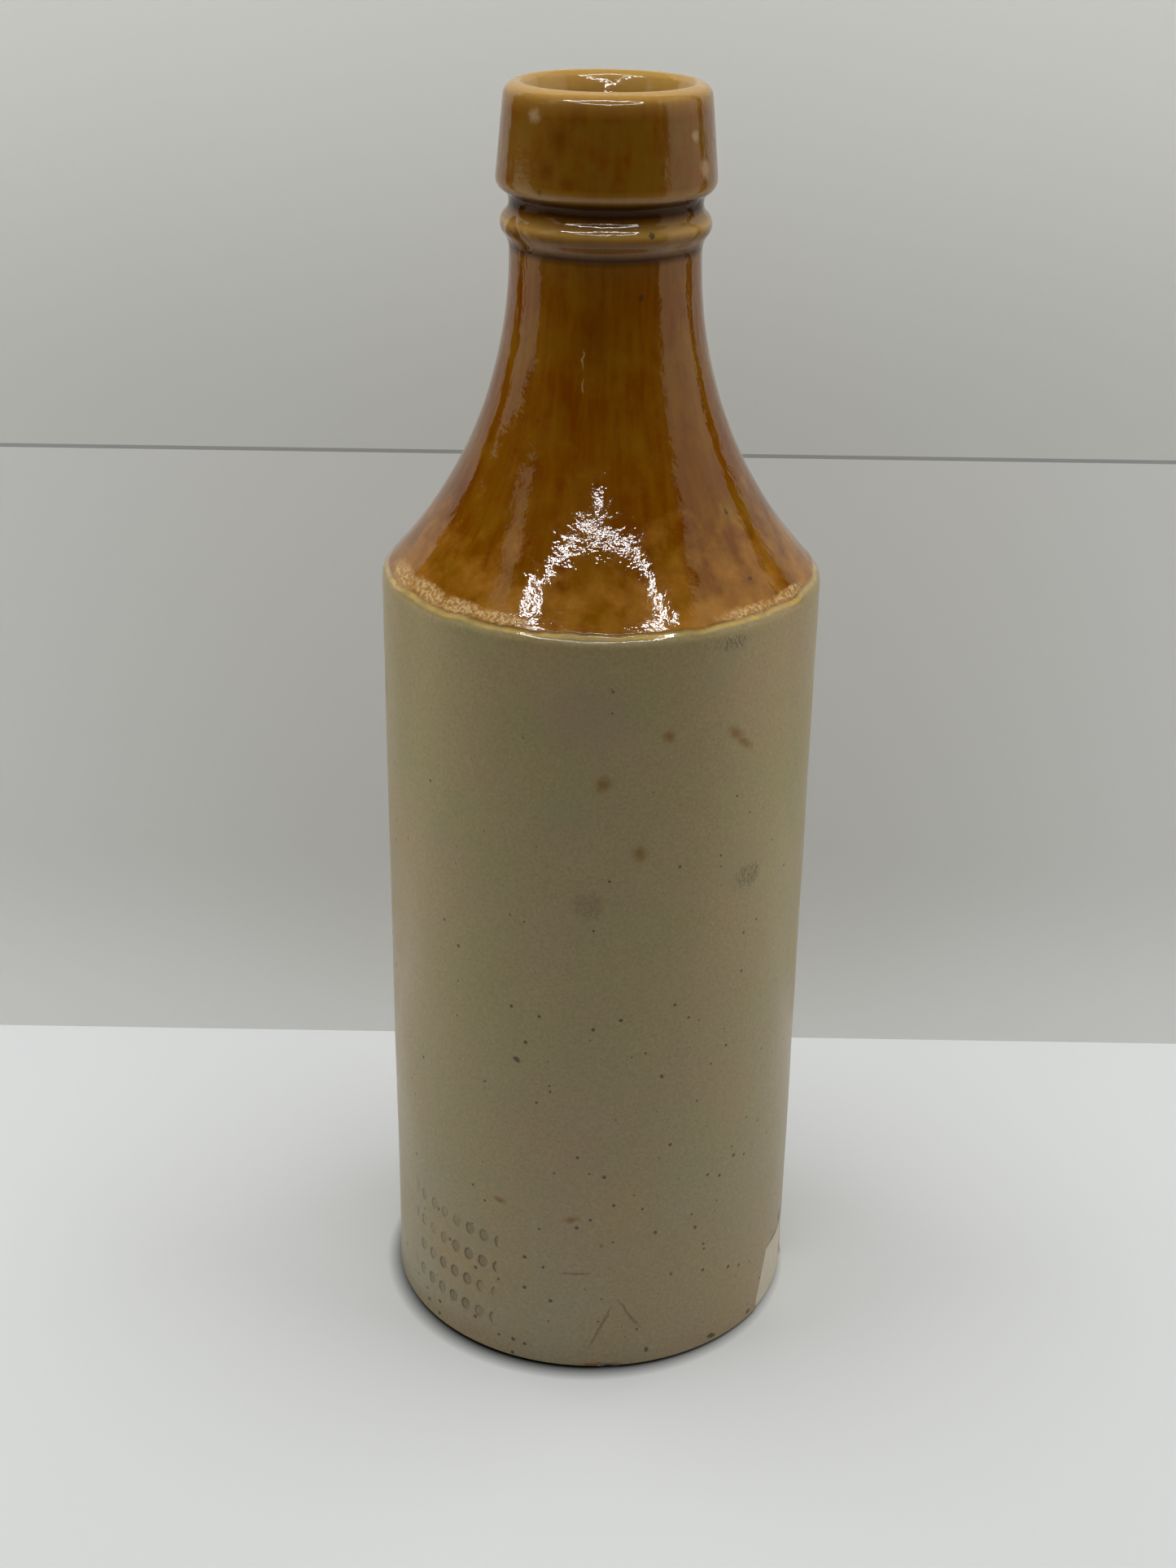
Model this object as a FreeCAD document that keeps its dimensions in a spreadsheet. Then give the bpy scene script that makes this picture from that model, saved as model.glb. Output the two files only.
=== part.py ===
import FreeCAD, Part
import Sketcher
import math
import os

# Stoneware bottle, thrown and glazed in one piece.
# Frame: millimetres, +Z up along the bottle's axis, origin at the middle of the foot.
# Bearings are degrees about Z from +X, counterclockwise seen from above.

NODE = "bottle"

# Driving sizes: alias, value, what it measures.
DRIVING_SIZES = [
    ("total_height", 220.0, "foot to the crest of the rim"),
    ("body_diameter", 74.4, "straight wall of the body"),
    ("heel_bevel", 0.7, "trimmed edge between the wall and the foot"),
    ("foot_ring_width", 8.0, "flat ring that the bottle stands on"),
    ("foot_dish_depth", 1.2, "hollow of the underside inside the ring"),
    ("shoulder_edge_radius", 2.5, "rounding where the wall turns into the shoulder"),
    ("sweep_radius", 75.5, "hollow curve of the shoulder and neck"),
    ("neck_diameter", 31.2, "narrowest part of the neck, and the groove under the lip"),
    ("neck_straight", 0.6, "straight stretch between the sweep and the bead"),
    ("bead_root_radius", 4.0, "hollow under the bead"),
    ("bead_stand", 1.44, "how far the bead stands out from the neck"),
    ("bead_radius", 2.5, "rounding of the bead"),
    ("groove_radius", 2.0, "rounding of the groove between bead and lip"),
    ("groove_drop", 18.3, "middle of the groove below the rim"),
    ("lip_stand", 2.09, "how far the lip stands out from the neck"),
    ("lip_heel_radius", 2.2, "rounding under the lip"),
    ("lip_taper", 1.2, "how far the lip draws in on the way up"),
    ("rim_radius", 2.4, "outer rounding of the rim"),
    ("mouth_edge_bevel", 0.5, "bevelled inner edge of the rim"),
    ("mouth_depth", 10.5, "sloping mouth above the bore"),
    ("bore_diameter", 19.0, "straight bore for the cork"),
    ("wall_thickness", 6.0, "wall of the body"),
    ("cavity_floor_bevel", 5.0, "inner slope between wall and floor"),
    ("floor_thickness", 8.0, "floor above the standing face"),
    ("seam_bearing", -146.5, "overlap crease in the bead"),
    ("seam_slant", 42.0, "lean of the crease away from upright, degrees"),
    ("seam_half_length", 3.4, "half the length of the crease"),
    ("seam_half_width", 1.1, "half the width of the crease cutter"),
    ("seam_depth", 0.8, "depth of the crease into the bead"),
    ("spall_bearing", -17.0, "middle of the flake lost from the heel"),
    ("spall_span", 29.0, "width of the lost flake, degrees"),
    ("spall_height", 12.3, "top of the lost flake"),
    ("spall_depth", 0.45, "thickness of the lost flake"),
    ("spall_bevel", 1.4, "sloping upper edge of the lost flake"),
    ("nick_bearing", -84.3, "small nick in the front of the foot"),
    ("nick_half_width", 2.3, "half the width of the nick"),
    ("nick_height", 1.1, "height of the nick"),
    ("nick_depth", 0.6, "depth of the nick"),
]

# A sketch calls the start, end and centre of a curve by these numbers.
START, END, CENTRE = range(1, 4)
# It calls its own axes, and the origin as the start of the level one, by these.
SKETCH_X, SKETCH_Y = -1, -2
ORIGIN = (SKETCH_X, START)
# The flake's section runs this far past the wall and under the foot, to cut clear of both.
CUT_MARGIN = 1.0
# The side of the underside's hollow runs this many times as far in as it rises.
DISH_SLOPE = 2.0
# Straight stretches inside, from the bore down to the cavity's wall.
INNER_FACETS = 2

doc = FreeCAD.newDocument("stoneware_bottle")


def fill_sheet():
    """Write the driving sizes into a spreadsheet and return their values by alias."""
    sheet = doc.addObject("Spreadsheet::Sheet", "Sizes")
    values = {}
    for row, (alias, value, meaning) in enumerate(DRIVING_SIZES, start=1):
        sheet.set(f"A{row}", meaning)
        sheet.set(f"B{row}", str(value))
        sheet.setAlias(f"B{row}", alias)
        values[alias] = value
    doc.recompute()
    return values


def origin_plane(body, role):
    """Return one of a body's own origin planes by its role."""
    for feature in body.Origin.OriginFeatures:
        if feature.Role == role:
            return feature
    raise ValueError(f"no origin plane {role}")


def attach(item, body, role):
    """Lay a sketch or primitive on one of the body's origin planes."""
    item.AttachmentSupport = [(origin_plane(body, role), "")]
    item.MapMode = "FlatFace"


def polar(centre, radius, degrees):
    """Point at an angle round a centre, in the sketch's plane."""
    angle = math.radians(degrees)
    return FreeCAD.Vector(
        centre.x + radius * math.cos(angle),
        centre.y + radius * math.sin(angle),
        0.0,
    )


def bearing_of(start, target):
    """Angle in degrees of the direction from one point to another."""
    return math.degrees(math.atan2(target.y - start.y, target.x - start.x))


def centre_above(below, x, reach):
    """Centre at a given x whose distance to a lower centre is the reach."""
    rise = math.sqrt(reach**2 - (x - below.x) ** 2)
    return FreeCAD.Vector(x, below.y + rise, 0.0)


def centre_below(above, x, reach):
    """Centre at a given x whose distance to a higher centre is the reach."""
    drop = math.sqrt(reach**2 - (x - above.x) ** 2)
    return FreeCAD.Vector(x, above.y - drop, 0.0)


class Outline:
    """A sketch whose lines and arcs are drawn in order and then dimensioned."""

    def __init__(self, sketch):
        self.sketch = sketch

    def line(self, start, end):
        return self.sketch.addGeometry(Part.LineSegment(start, end), False)

    def arc(self, centre, radius, start_angle, end_angle):
        circle = Part.Circle(centre, FreeCAD.Vector(0, 0, 1), radius)
        start = math.radians(start_angle)
        end = math.radians(end_angle)
        return self.sketch.addGeometry(Part.ArcOfCircle(circle, start, end), False)

    def rule(self, kind, *where):
        return self.sketch.addConstraint(Sketcher.Constraint(kind, *where))

    def size(self, name, formula, kind, *where):
        """Add a dimension under a name of its own and tie it to the sheet."""
        index = self.rule(kind, *where)
        self.sketch.renameConstraint(index, name)
        self.sketch.setExpression(f"Constraints.{name}", formula)

    def across(self, name, formula, item, point, value):
        self.size(name, formula, "DistanceX", *ORIGIN, item, point, value)

    def up(self, name, formula, item, point, value):
        self.size(name, formula, "DistanceY", *ORIGIN, item, point, value)

    def radius(self, alias, item, value):
        self.size(alias, f"Sizes.{alias}", "Radius", item, value)

    def reading(self, name, kind, *where):
        """Add a dimension that is only read, for other features to follow."""
        index = self.rule(kind, *where)
        self.sketch.setDriving(index, False)
        self.sketch.renameConstraint(index, name)


def draw_section(body, v):
    """Draw the half section of the bottle: foot, wall, shoulder, neck, lip, bore and cavity."""
    height = v["total_height"]
    body_r = v["body_diameter"] / 2
    neck_r = v["neck_diameter"] / 2
    bore_r = v["bore_diameter"] / 2
    cavity_r = body_r - v["wall_thickness"]
    heel = v["heel_bevel"]
    edge = v["shoulder_edge_radius"]
    sweep = v["sweep_radius"]
    root = v["bead_root_radius"]
    bead = v["bead_radius"]
    groove = v["groove_radius"]
    lip_heel = v["lip_heel_radius"]
    rim = v["rim_radius"]
    mouth_edge = v["mouth_edge_bevel"]
    floor_bevel = v["cavity_floor_bevel"]
    dish = v["foot_dish_depth"]
    floor = v["floor_thickness"]
    ring_r = body_r - v["foot_ring_width"]
    inner_sweep = sweep + neck_r - bore_r

    # Centres of the rounded stretches, from the groove down to the wall and up to the rim.
    groove_c = FreeCAD.Vector(neck_r + groove, height - v["groove_drop"], 0)
    bead_c = centre_below(groove_c, neck_r + v["bead_stand"] - bead, groove + bead)
    root_c = centre_below(bead_c, neck_r + root, bead + root)
    waist = root_c.y - v["neck_straight"]
    sweep_c = FreeCAD.Vector(neck_r + sweep, waist, 0)
    edge_c = centre_below(sweep_c, body_r - edge, sweep + edge)
    cavity_top = centre_below(sweep_c, cavity_r, inner_sweep)
    lip_c = centre_above(groove_c, neck_r + v["lip_stand"] - lip_heel, groove + lip_heel)
    rim_x = neck_r + v["lip_stand"] - v["lip_taper"] - rim
    rim_c = FreeCAD.Vector(rim_x, height - rim, 0)

    # The lip's side touches both of its rounded ends.
    side = rim_c.sub(lip_c)
    lean = math.degrees(math.asin((lip_heel - rim) / side.Length))
    side_normal = bearing_of(lip_c, rim_c) - 90 + lean

    # The sloping mouth runs from the rim's bevelled inner edge down to the bore.
    crest = FreeCAD.Vector(rim_x, height, 0)
    mouth_top = FreeCAD.Vector(rim_x - mouth_edge, height - mouth_edge, 0)
    bore_top = FreeCAD.Vector(bore_r, height - v["mouth_depth"], 0)

    sketch = body.newObject("Sketcher::SketchObject", "section")
    attach(sketch, body, "XZ_Plane")
    draw = Outline(sketch)
    point = FreeCAD.Vector

    dish_r = ring_r - DISH_SLOPE * dish
    dish_top = draw.line(point(0, dish, 0), point(dish_r, dish, 0))
    dish_side = draw.line(point(dish_r, dish, 0), point(ring_r, 0, 0))
    ring = draw.line(point(ring_r, 0, 0), point(body_r - heel, 0, 0))
    heel_side = draw.line(point(body_r - heel, 0, 0), point(body_r, heel, 0))
    wall = draw.line(point(body_r, heel, 0), point(body_r, edge_c.y, 0))
    edge_arc = draw.arc(edge_c, edge, 0, bearing_of(edge_c, sweep_c))
    sweep_arc = draw.arc(sweep_c, sweep, 180, 180 + bearing_of(edge_c, sweep_c))
    neck = draw.line(point(neck_r, waist, 0), point(neck_r, root_c.y, 0))
    root_arc = draw.arc(root_c, root, bearing_of(root_c, bead_c), 180)
    bead_arc = draw.arc(bead_c, bead, bearing_of(bead_c, root_c), bearing_of(bead_c, groove_c))
    groove_arc = draw.arc(
        groove_c, groove, bearing_of(groove_c, lip_c), 360 + bearing_of(groove_c, bead_c)
    )
    lip_arc = draw.arc(lip_c, lip_heel, bearing_of(lip_c, groove_c), side_normal)
    lip_side = draw.line(polar(lip_c, lip_heel, side_normal), polar(rim_c, rim, side_normal))
    rim_arc = draw.arc(rim_c, rim, side_normal, 90)
    mouth_bevel = draw.line(crest, mouth_top)
    mouth_slope = draw.line(mouth_top, bore_top)
    bore = draw.line(bore_top, point(bore_r, waist, 0))
    cavity_wall = draw.line(cavity_top, point(cavity_r, floor + floor_bevel, 0))
    floor_slope = draw.line(
        point(cavity_r, floor + floor_bevel, 0), point(cavity_r - floor_bevel, floor, 0)
    )
    cavity_floor = draw.line(point(cavity_r - floor_bevel, floor, 0), point(0, floor, 0))
    axis_side = draw.line(point(0, floor, 0), point(0, dish, 0))

    # Inside, even straight facets follow a guide arc that keeps the neck's wall to the shoulder.
    inner_turn = bearing_of(cavity_top, sweep_c)
    guide_arc = draw.arc(sweep_c, inner_sweep, 180, 180 + inner_turn)
    sketch.setConstruction(guide_arc, True)
    steps = [180 + inner_turn * step / INNER_FACETS for step in range(INNER_FACETS + 1)]
    knots = [polar(sweep_c, inner_sweep, step) for step in steps]
    facets = [draw.line(knots[step], knots[step + 1]) for step in range(INNER_FACETS)]

    smooth_joints = [
        (wall, END, edge_arc, START),
        (edge_arc, END, sweep_arc, END),
        (sweep_arc, START, neck, START),
        (neck, END, root_arc, END),
        (root_arc, START, bead_arc, START),
        (bead_arc, END, groove_arc, END),
        (groove_arc, START, lip_arc, START),
        (lip_arc, END, lip_side, START),
        (lip_side, END, rim_arc, START),
        (bore, END, guide_arc, START),
    ]
    corners = [
        (ring, END, heel_side, START),
        (heel_side, END, wall, START),
        (rim_arc, END, mouth_bevel, START),
        (mouth_bevel, END, mouth_slope, START),
        (mouth_slope, END, bore, START),
        (bore, END, facets[0], START),
        (guide_arc, CENTRE, sweep_arc, CENTRE),
        (guide_arc, END, cavity_wall, START),
        (facets[-1], END, cavity_wall, START),
        (cavity_wall, END, floor_slope, START),
        (floor_slope, END, cavity_floor, START),
        (cavity_floor, END, axis_side, START),
        (axis_side, END, dish_top, START),
        (dish_top, END, dish_side, START),
        (dish_side, END, ring, START),
    ]
    for joint in smooth_joints:
        draw.rule("Tangent", *joint)
    for corner in corners:
        draw.rule("Coincident", *corner)
    for upper, lower in zip(facets, facets[1:]):
        draw.rule("Coincident", upper, END, lower, START)
        draw.rule("PointOnObject", upper, END, guide_arc)
        draw.rule("Equal", upper, lower)
    for upright in (wall, neck, bore, cavity_wall, axis_side):
        draw.rule("Vertical", upright)
    for level in (dish_top, ring, cavity_floor):
        draw.rule("Horizontal", level)
    draw.rule("PointOnObject", axis_side, START, SKETCH_Y)
    draw.rule("PointOnObject", ring, START, SKETCH_X)
    draw.rule("Vertical", rim_arc, CENTRE, rim_arc, END)

    draw.radius("shoulder_edge_radius", edge_arc, edge)
    draw.radius("sweep_radius", sweep_arc, sweep)
    draw.radius("bead_root_radius", root_arc, root)
    draw.radius("bead_radius", bead_arc, bead)
    draw.radius("groove_radius", groove_arc, groove)
    draw.radius("lip_heel_radius", lip_arc, lip_heel)
    draw.radius("rim_radius", rim_arc, rim)

    neck_half = "Sizes.neck_diameter / 2"
    draw.across("body_half", "Sizes.body_diameter / 2", wall, START, body_r)
    draw.across("neck_half", neck_half, neck, START, neck_r)
    draw.across("bore_half", "Sizes.bore_diameter / 2", bore, START, bore_r)
    draw.across(
        "cavity_half",
        "Sizes.body_diameter / 2 - Sizes.wall_thickness",
        cavity_wall, START, cavity_r,
    )
    draw.across(
        "ring_inner_half",
        "Sizes.body_diameter / 2 - Sizes.foot_ring_width",
        ring, START, ring_r,
    )
    draw.across(
        "bead_centre_out",
        f"{neck_half} + Sizes.bead_stand - Sizes.bead_radius",
        bead_arc, CENTRE, bead_c.x,
    )
    draw.across(
        "groove_centre_out", f"{neck_half} + Sizes.groove_radius", groove_arc, CENTRE, groove_c.x
    )
    draw.across(
        "lip_centre_out",
        f"{neck_half} + Sizes.lip_stand - Sizes.lip_heel_radius",
        lip_arc, CENTRE, lip_c.x,
    )
    draw.across(
        "rim_centre_out",
        f"{neck_half} + Sizes.lip_stand - Sizes.lip_taper - Sizes.rim_radius",
        rim_arc, CENTRE, rim_c.x,
    )
    draw.size(
        "mouth_edge_run", "Sizes.mouth_edge_bevel",
        "DistanceX", mouth_bevel, END, mouth_bevel, START, mouth_edge,
    )
    draw.size(
        "mouth_edge_drop", "Sizes.mouth_edge_bevel",
        "DistanceY", mouth_bevel, END, mouth_bevel, START, mouth_edge,
    )
    draw.size(
        "dish_slope_run", f"{DISH_SLOPE} * Sizes.foot_dish_depth",
        "DistanceX", dish_side, START, dish_side, END, DISH_SLOPE * dish,
    )
    draw.size(
        "heel_run", "Sizes.heel_bevel", "DistanceX", heel_side, START, heel_side, END, heel
    )
    draw.size(
        "floor_slope_run", "Sizes.cavity_floor_bevel",
        "DistanceX", floor_slope, END, floor_slope, START, floor_bevel,
    )
    draw.size(
        "floor_slope_rise", "Sizes.cavity_floor_bevel",
        "DistanceY", floor_slope, END, floor_slope, START, floor_bevel,
    )
    draw.up("heel_height", "Sizes.heel_bevel", wall, START, heel)
    draw.size(
        "neck_straight", "Sizes.neck_straight",
        "DistanceY", neck, START, neck, END, v["neck_straight"],
    )
    draw.up("dish_height", "Sizes.foot_dish_depth", dish_top, END, dish)
    draw.up("floor_height", "Sizes.floor_thickness", cavity_floor, START, floor)
    draw.up(
        "groove_height", "Sizes.total_height - Sizes.groove_drop", groove_arc, CENTRE, groove_c.y
    )
    draw.up(
        "rim_centre_height", "Sizes.total_height - Sizes.rim_radius", rim_arc, CENTRE, rim_c.y
    )
    draw.up(
        "bore_top_height", "Sizes.total_height - Sizes.mouth_depth", bore, START, bore_top.y
    )
    draw.reading("bead_height", "DistanceY", *ORIGIN, bead_arc, CENTRE, bead_c.y)
    return sketch


def revolve_section(body, sketch):
    """Turn the half section into the plain bottle."""
    turned = body.newObject("PartDesign::Revolution", "turned_bottle")
    turned.Profile = sketch
    turned.ReferenceAxis = (sketch, ["V_Axis"])
    turned.Angle = 360.0
    sketch.Visibility = False
    doc.recompute()
    return turned


def cut_bead_seam(body, v, bead_height):
    """Cut the slanting crease where the ends of the bead overlap."""
    seam = body.newObject("PartDesign::SubtractiveEllipsoid", "bead_seam")
    attach(seam, body, "XY_Plane")
    upright = FreeCAD.Rotation(FreeCAD.Vector(1, 0, 0), v["seam_slant"])
    turn = FreeCAD.Rotation(FreeCAD.Vector(0, 0, 1), v["seam_bearing"])
    seam.AttachmentOffset = FreeCAD.Placement(
        FreeCAD.Vector(0, 0, bead_height), turn.multiply(upright)
    )
    # The cutter's middle lies out on the bead's face, so that it reaches in by the seam's depth.
    out = "(Sizes.neck_diameter / 2 + Sizes.bead_stand - Sizes.seam_depth + Sizes.seam_half_width)"
    bearing = "Sizes.seam_bearing * 1 deg"
    seam.setExpression("Radius1", "Sizes.seam_half_length")
    seam.setExpression("Radius2", "Sizes.seam_half_width")
    seam.setExpression("Radius3", "Sizes.seam_half_width")
    seam.setExpression("AttachmentOffset.Base.x", f"{out} * cos({bearing})")
    seam.setExpression("AttachmentOffset.Base.y", f"{out} * sin({bearing})")
    seam.setExpression("AttachmentOffset.Base.z", "section.Constraints.bead_height")
    doc.recompute()
    return seam


def cut_spall(body, v):
    """Take the shallow flake off the heel, over part of a turn."""
    wall_r = v["body_diameter"] / 2
    base_r = wall_r - v["spall_depth"]
    top = v["spall_height"]
    shelf = top - v["spall_bevel"]
    sketch = body.newObject("Sketcher::SketchObject", "spall_section")
    attach(sketch, body, "XZ_Plane")
    sketch.AttachmentOffset = FreeCAD.Placement(
        FreeCAD.Vector(0, 0, 0),
        FreeCAD.Rotation(FreeCAD.Vector(0, 1, 0), v["spall_bearing"]),
    )
    sketch.setExpression("AttachmentOffset.Rotation.Angle", "Sizes.spall_bearing * 1 deg")
    draw = Outline(sketch)
    points = [
        FreeCAD.Vector(base_r, -CUT_MARGIN, 0),
        FreeCAD.Vector(wall_r + CUT_MARGIN, -CUT_MARGIN, 0),
        FreeCAD.Vector(wall_r + CUT_MARGIN, top, 0),
        FreeCAD.Vector(wall_r, top, 0),
        FreeCAD.Vector(base_r, shelf, 0),
    ]
    under, outer, over, bevel, face = [
        draw.line(start, points[(index + 1) % len(points)]) for index, start in enumerate(points)
    ]
    loop = [under, outer, over, bevel, face]
    for index, item in enumerate(loop):
        draw.rule("Coincident", item, END, loop[(index + 1) % len(loop)], START)
    for level in (under, over):
        draw.rule("Horizontal", level)
    for upright in (outer, face):
        draw.rule("Vertical", upright)
    wall_half = "Sizes.body_diameter / 2"
    draw.across("scar_face", f"{wall_half} - Sizes.spall_depth", face, START, base_r)
    draw.across("scar_rim", wall_half, bevel, START, wall_r)
    draw.across("outside", f"{wall_half} + {CUT_MARGIN}", outer, START, wall_r + CUT_MARGIN)
    draw.up("scar_top", "Sizes.spall_height", over, START, top)
    draw.up("scar_shelf", "Sizes.spall_height - Sizes.spall_bevel", face, START, shelf)
    draw.up("underside", f"-{CUT_MARGIN}", under, START, -CUT_MARGIN)

    spall = body.newObject("PartDesign::Groove", "heel_spall")
    spall.Profile = sketch
    spall.ReferenceAxis = (sketch, ["V_Axis"])
    spall.Midplane = True
    spall.Angle = v["spall_span"]
    spall.setExpression("Angle", "Sizes.spall_span * 1 deg")
    sketch.Visibility = False
    doc.recompute()
    return spall


def cut_foot_nick(body, v):
    """Knock the small nick out of the foot's front edge."""
    nick = body.newObject("PartDesign::SubtractiveEllipsoid", "foot_nick")
    attach(nick, body, "XY_Plane")
    nick.AttachmentOffset = FreeCAD.Placement(
        FreeCAD.Vector(0, 0, 0),
        FreeCAD.Rotation(FreeCAD.Vector(0, 0, 1), v["nick_bearing"]),
    )
    bearing = "Sizes.nick_bearing * 1 deg"
    nick.setExpression("Radius1", "Sizes.nick_height")
    nick.setExpression("Radius2", "Sizes.nick_depth")
    nick.setExpression("Radius3", "Sizes.nick_half_width")
    nick.setExpression("AttachmentOffset.Base.x", f"Sizes.body_diameter / 2 * cos({bearing})")
    nick.setExpression("AttachmentOffset.Base.y", f"Sizes.body_diameter / 2 * sin({bearing})")
    doc.recompute()
    return nick


def require_cut(before, feature):
    """Stop if a cut took nothing away."""
    taken = before - feature.Shape.Volume
    print(f"{feature.Name}: {taken:.2f} mm3 removed")
    if taken <= 0:
        raise RuntimeError(f"{feature.Name} cuts nothing")
    return feature.Shape.Volume


def build_bottle():
    """Build the bottle as one body whose sizes follow the sheet."""
    v = fill_sheet()
    body = doc.addObject("PartDesign::Body", NODE)
    body.Label = NODE
    sketch = draw_section(body, v)
    doc.recompute()
    turned = revolve_section(body, sketch)
    volume = turned.Shape.Volume
    bead_height = sketch.getDatum("bead_height").Value
    for cut in (cut_bead_seam(body, v, bead_height), cut_spall(body, v), cut_foot_nick(body, v)):
        volume = require_cut(volume, cut)
    body.Placement = FreeCAD.Placement()
    doc.recompute()
    print(f"section: solver {sketch.solve()}, fully constrained {sketch.FullyConstrained}")
    return body


def check_document():
    """Stop on any object that FreeCAD left failed."""
    for item in doc.Objects:
        if "Invalid" in item.State or "Error" in item.State:
            raise RuntimeError(f"{item.Name} failed: {item.State}")


def write_part(body):
    """Check the body's shape and write its file."""
    shape = body.Shape
    if shape.isNull() or not shape.isValid():
        raise RuntimeError(f"{body.Label} has no valid shape")
    os.makedirs("parts", exist_ok=True)
    shape.exportStep(f"parts/{body.Label}.step")
    box = shape.BoundBox
    print(
        f"{body.Label}: {len(shape.Solids)} solid, {shape.Volume / 1000:.1f} cm3, "
        f"{box.XLength:.2f} x {box.YLength:.2f} x {box.ZLength:.2f} mm"
    )


bottle = build_bottle()
check_document()
write_part(bottle)
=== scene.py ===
"""Looks of a stoneware bottle that was thrown and glazed in one piece.

The bottle is turned from its half section, pressed and chipped, and dressed in a buff glaze with an
amber one dipped over its shoulder, neck and lip. It stands in a small tent of white paper, lit by a
frame of thin lamps. Lengths are millimetres until a mesh, a lamp or a node takes them, bearings are
degrees about Z from +X, and the viewer of the photographed side stands at -Y.
"""

import logging
import math
from dataclasses import dataclass
from enum import Enum
from typing import Any

import bpy
from mathutils import Matrix, Vector


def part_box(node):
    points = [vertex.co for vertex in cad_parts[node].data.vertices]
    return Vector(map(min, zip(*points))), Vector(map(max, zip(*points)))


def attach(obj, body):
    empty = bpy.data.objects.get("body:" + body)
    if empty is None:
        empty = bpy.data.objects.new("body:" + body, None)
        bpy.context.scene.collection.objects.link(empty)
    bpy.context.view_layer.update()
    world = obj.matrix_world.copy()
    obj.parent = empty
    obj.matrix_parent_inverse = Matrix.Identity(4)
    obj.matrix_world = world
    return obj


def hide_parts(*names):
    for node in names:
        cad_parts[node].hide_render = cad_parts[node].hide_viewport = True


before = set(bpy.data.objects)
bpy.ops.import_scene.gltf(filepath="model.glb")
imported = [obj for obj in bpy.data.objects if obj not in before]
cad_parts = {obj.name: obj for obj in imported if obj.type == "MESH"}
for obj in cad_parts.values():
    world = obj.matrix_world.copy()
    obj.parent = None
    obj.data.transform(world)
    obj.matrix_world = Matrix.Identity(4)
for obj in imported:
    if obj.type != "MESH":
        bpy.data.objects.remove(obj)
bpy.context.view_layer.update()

MM = 0.001
NODE = "bottle"
BODY = "root"

log = logging.getLogger(NODE)


# Helpers for colours, nodes and selections

def hex_to_linear(code: str) -> tuple[float, float, float, float]:
    """Turn an sRGB colour into the linear one that nodes work in.

    Args:
        code: Six hexadecimal digits.

    Returns:
        Linear red, green and blue, and an alpha of one.
    """
    channels = [int(code[start:start + 2], 16) / 255 for start in (0, 2, 4)]
    linear = [c / 12.92 if c <= 0.04045 else ((c + 0.055) / 1.055) ** 2.4 for c in channels]
    return (*linear, 1.0)


def add_node(tree: bpy.types.NodeTree, kind: str, inputs: dict[Any, Any] | None = None,
             **settings: Any) -> bpy.types.NodeSocket | None:
    """Add a node with its settings and links.

    Args:
        tree: Node tree that takes the node.
        kind: Blender's name for the node, without the ShaderNode that it starts with.
        inputs: Socket name or number, with the value, the hex colour or the output that feeds it.
        **settings: Other properties of the node.

    Returns:
        The first output in use, or nothing for a node that has none.
    """
    node = tree.nodes.new("ShaderNode" + kind)
    for name, value in settings.items():
        setattr(node, name, value)
    for key, value in (inputs or {}).items():
        if isinstance(value, bpy.types.NodeSocket):
            tree.links.new(value, node.inputs[key])
        else:
            node.inputs[key].default_value = hex_to_linear(value) if isinstance(value, str) else value
    return next((output for output in node.outputs if output.enabled), None)


def new_material(name: str) -> bpy.types.Material:
    """Make a material with nothing in it.

    Args:
        name: Name of the finish.

    Returns:
        The empty material.
    """
    material = bpy.data.materials.new(name)
    material.use_nodes = True
    material.node_tree.nodes.clear()
    return material


def around(bearing: float, radius: float, height: float) -> Vector:
    """Point at a bearing, a distance from the axis and a height, in the same unit as given."""
    angle = math.radians(bearing)
    return Vector((radius * math.cos(angle), radius * math.sin(angle), height))


def deselect_all() -> None:
    """Leave object mode with nothing selected."""
    if bpy.context.object and bpy.context.object.mode != "OBJECT":
        bpy.ops.object.mode_set(mode="OBJECT")
    bpy.ops.object.select_all(action="DESELECT")


def make_active(piece: bpy.types.Object) -> None:
    """Select one object alone and make it the active one.

    Args:
        piece: Object that is selected.
    """
    deselect_all()
    piece.select_set(True)
    bpy.context.view_layer.objects.active = piece


def apply_modifiers(piece: bpy.types.Object) -> None:
    """Apply every modifier of a piece in order.

    Args:
        piece: Object with the modifiers.
    """
    make_active(piece)
    for modifier in list(piece.modifiers):
        bpy.ops.object.modifier_apply(modifier=modifier.name)


def turn_about(axis: str, angle: float) -> None:
    """Turn what is selected in edit mode about an axis through the origin.

    Args:
        axis: X, Y or Z.
        angle: Angle in degrees, as the operator counts it.
    """
    bpy.ops.transform.rotate(value=math.radians(angle), orient_axis=axis, center_override=(0, 0, 0))


def spin_closed(steps: int, angle: float) -> None:
    """Spin what is selected in edit mode about Z into a closed skin that faces outwards.

    Args:
        steps: Number of steps in the turn.
        angle: Angle of the turn in radians.
    """
    bpy.ops.mesh.spin(steps=steps, angle=angle, center=(0, 0, 0), axis=(0, 0, 1))
    bpy.ops.mesh.select_all(action="SELECT")
    bpy.ops.mesh.remove_doubles(threshold=0.01 * MM)
    bpy.ops.mesh.normals_make_consistent(inside=False)
    bpy.ops.object.mode_set(mode="OBJECT")


def hide_from(piece: bpy.types.Object, *rays: str) -> None:
    """Take a piece out of what some kinds of ray meet.

    Args:
        piece: Object that is hidden.
        *rays: Kinds of ray, as Blender names them.
    """
    for ray in rays:
        setattr(piece, f"visible_{ray}", False)


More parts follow.
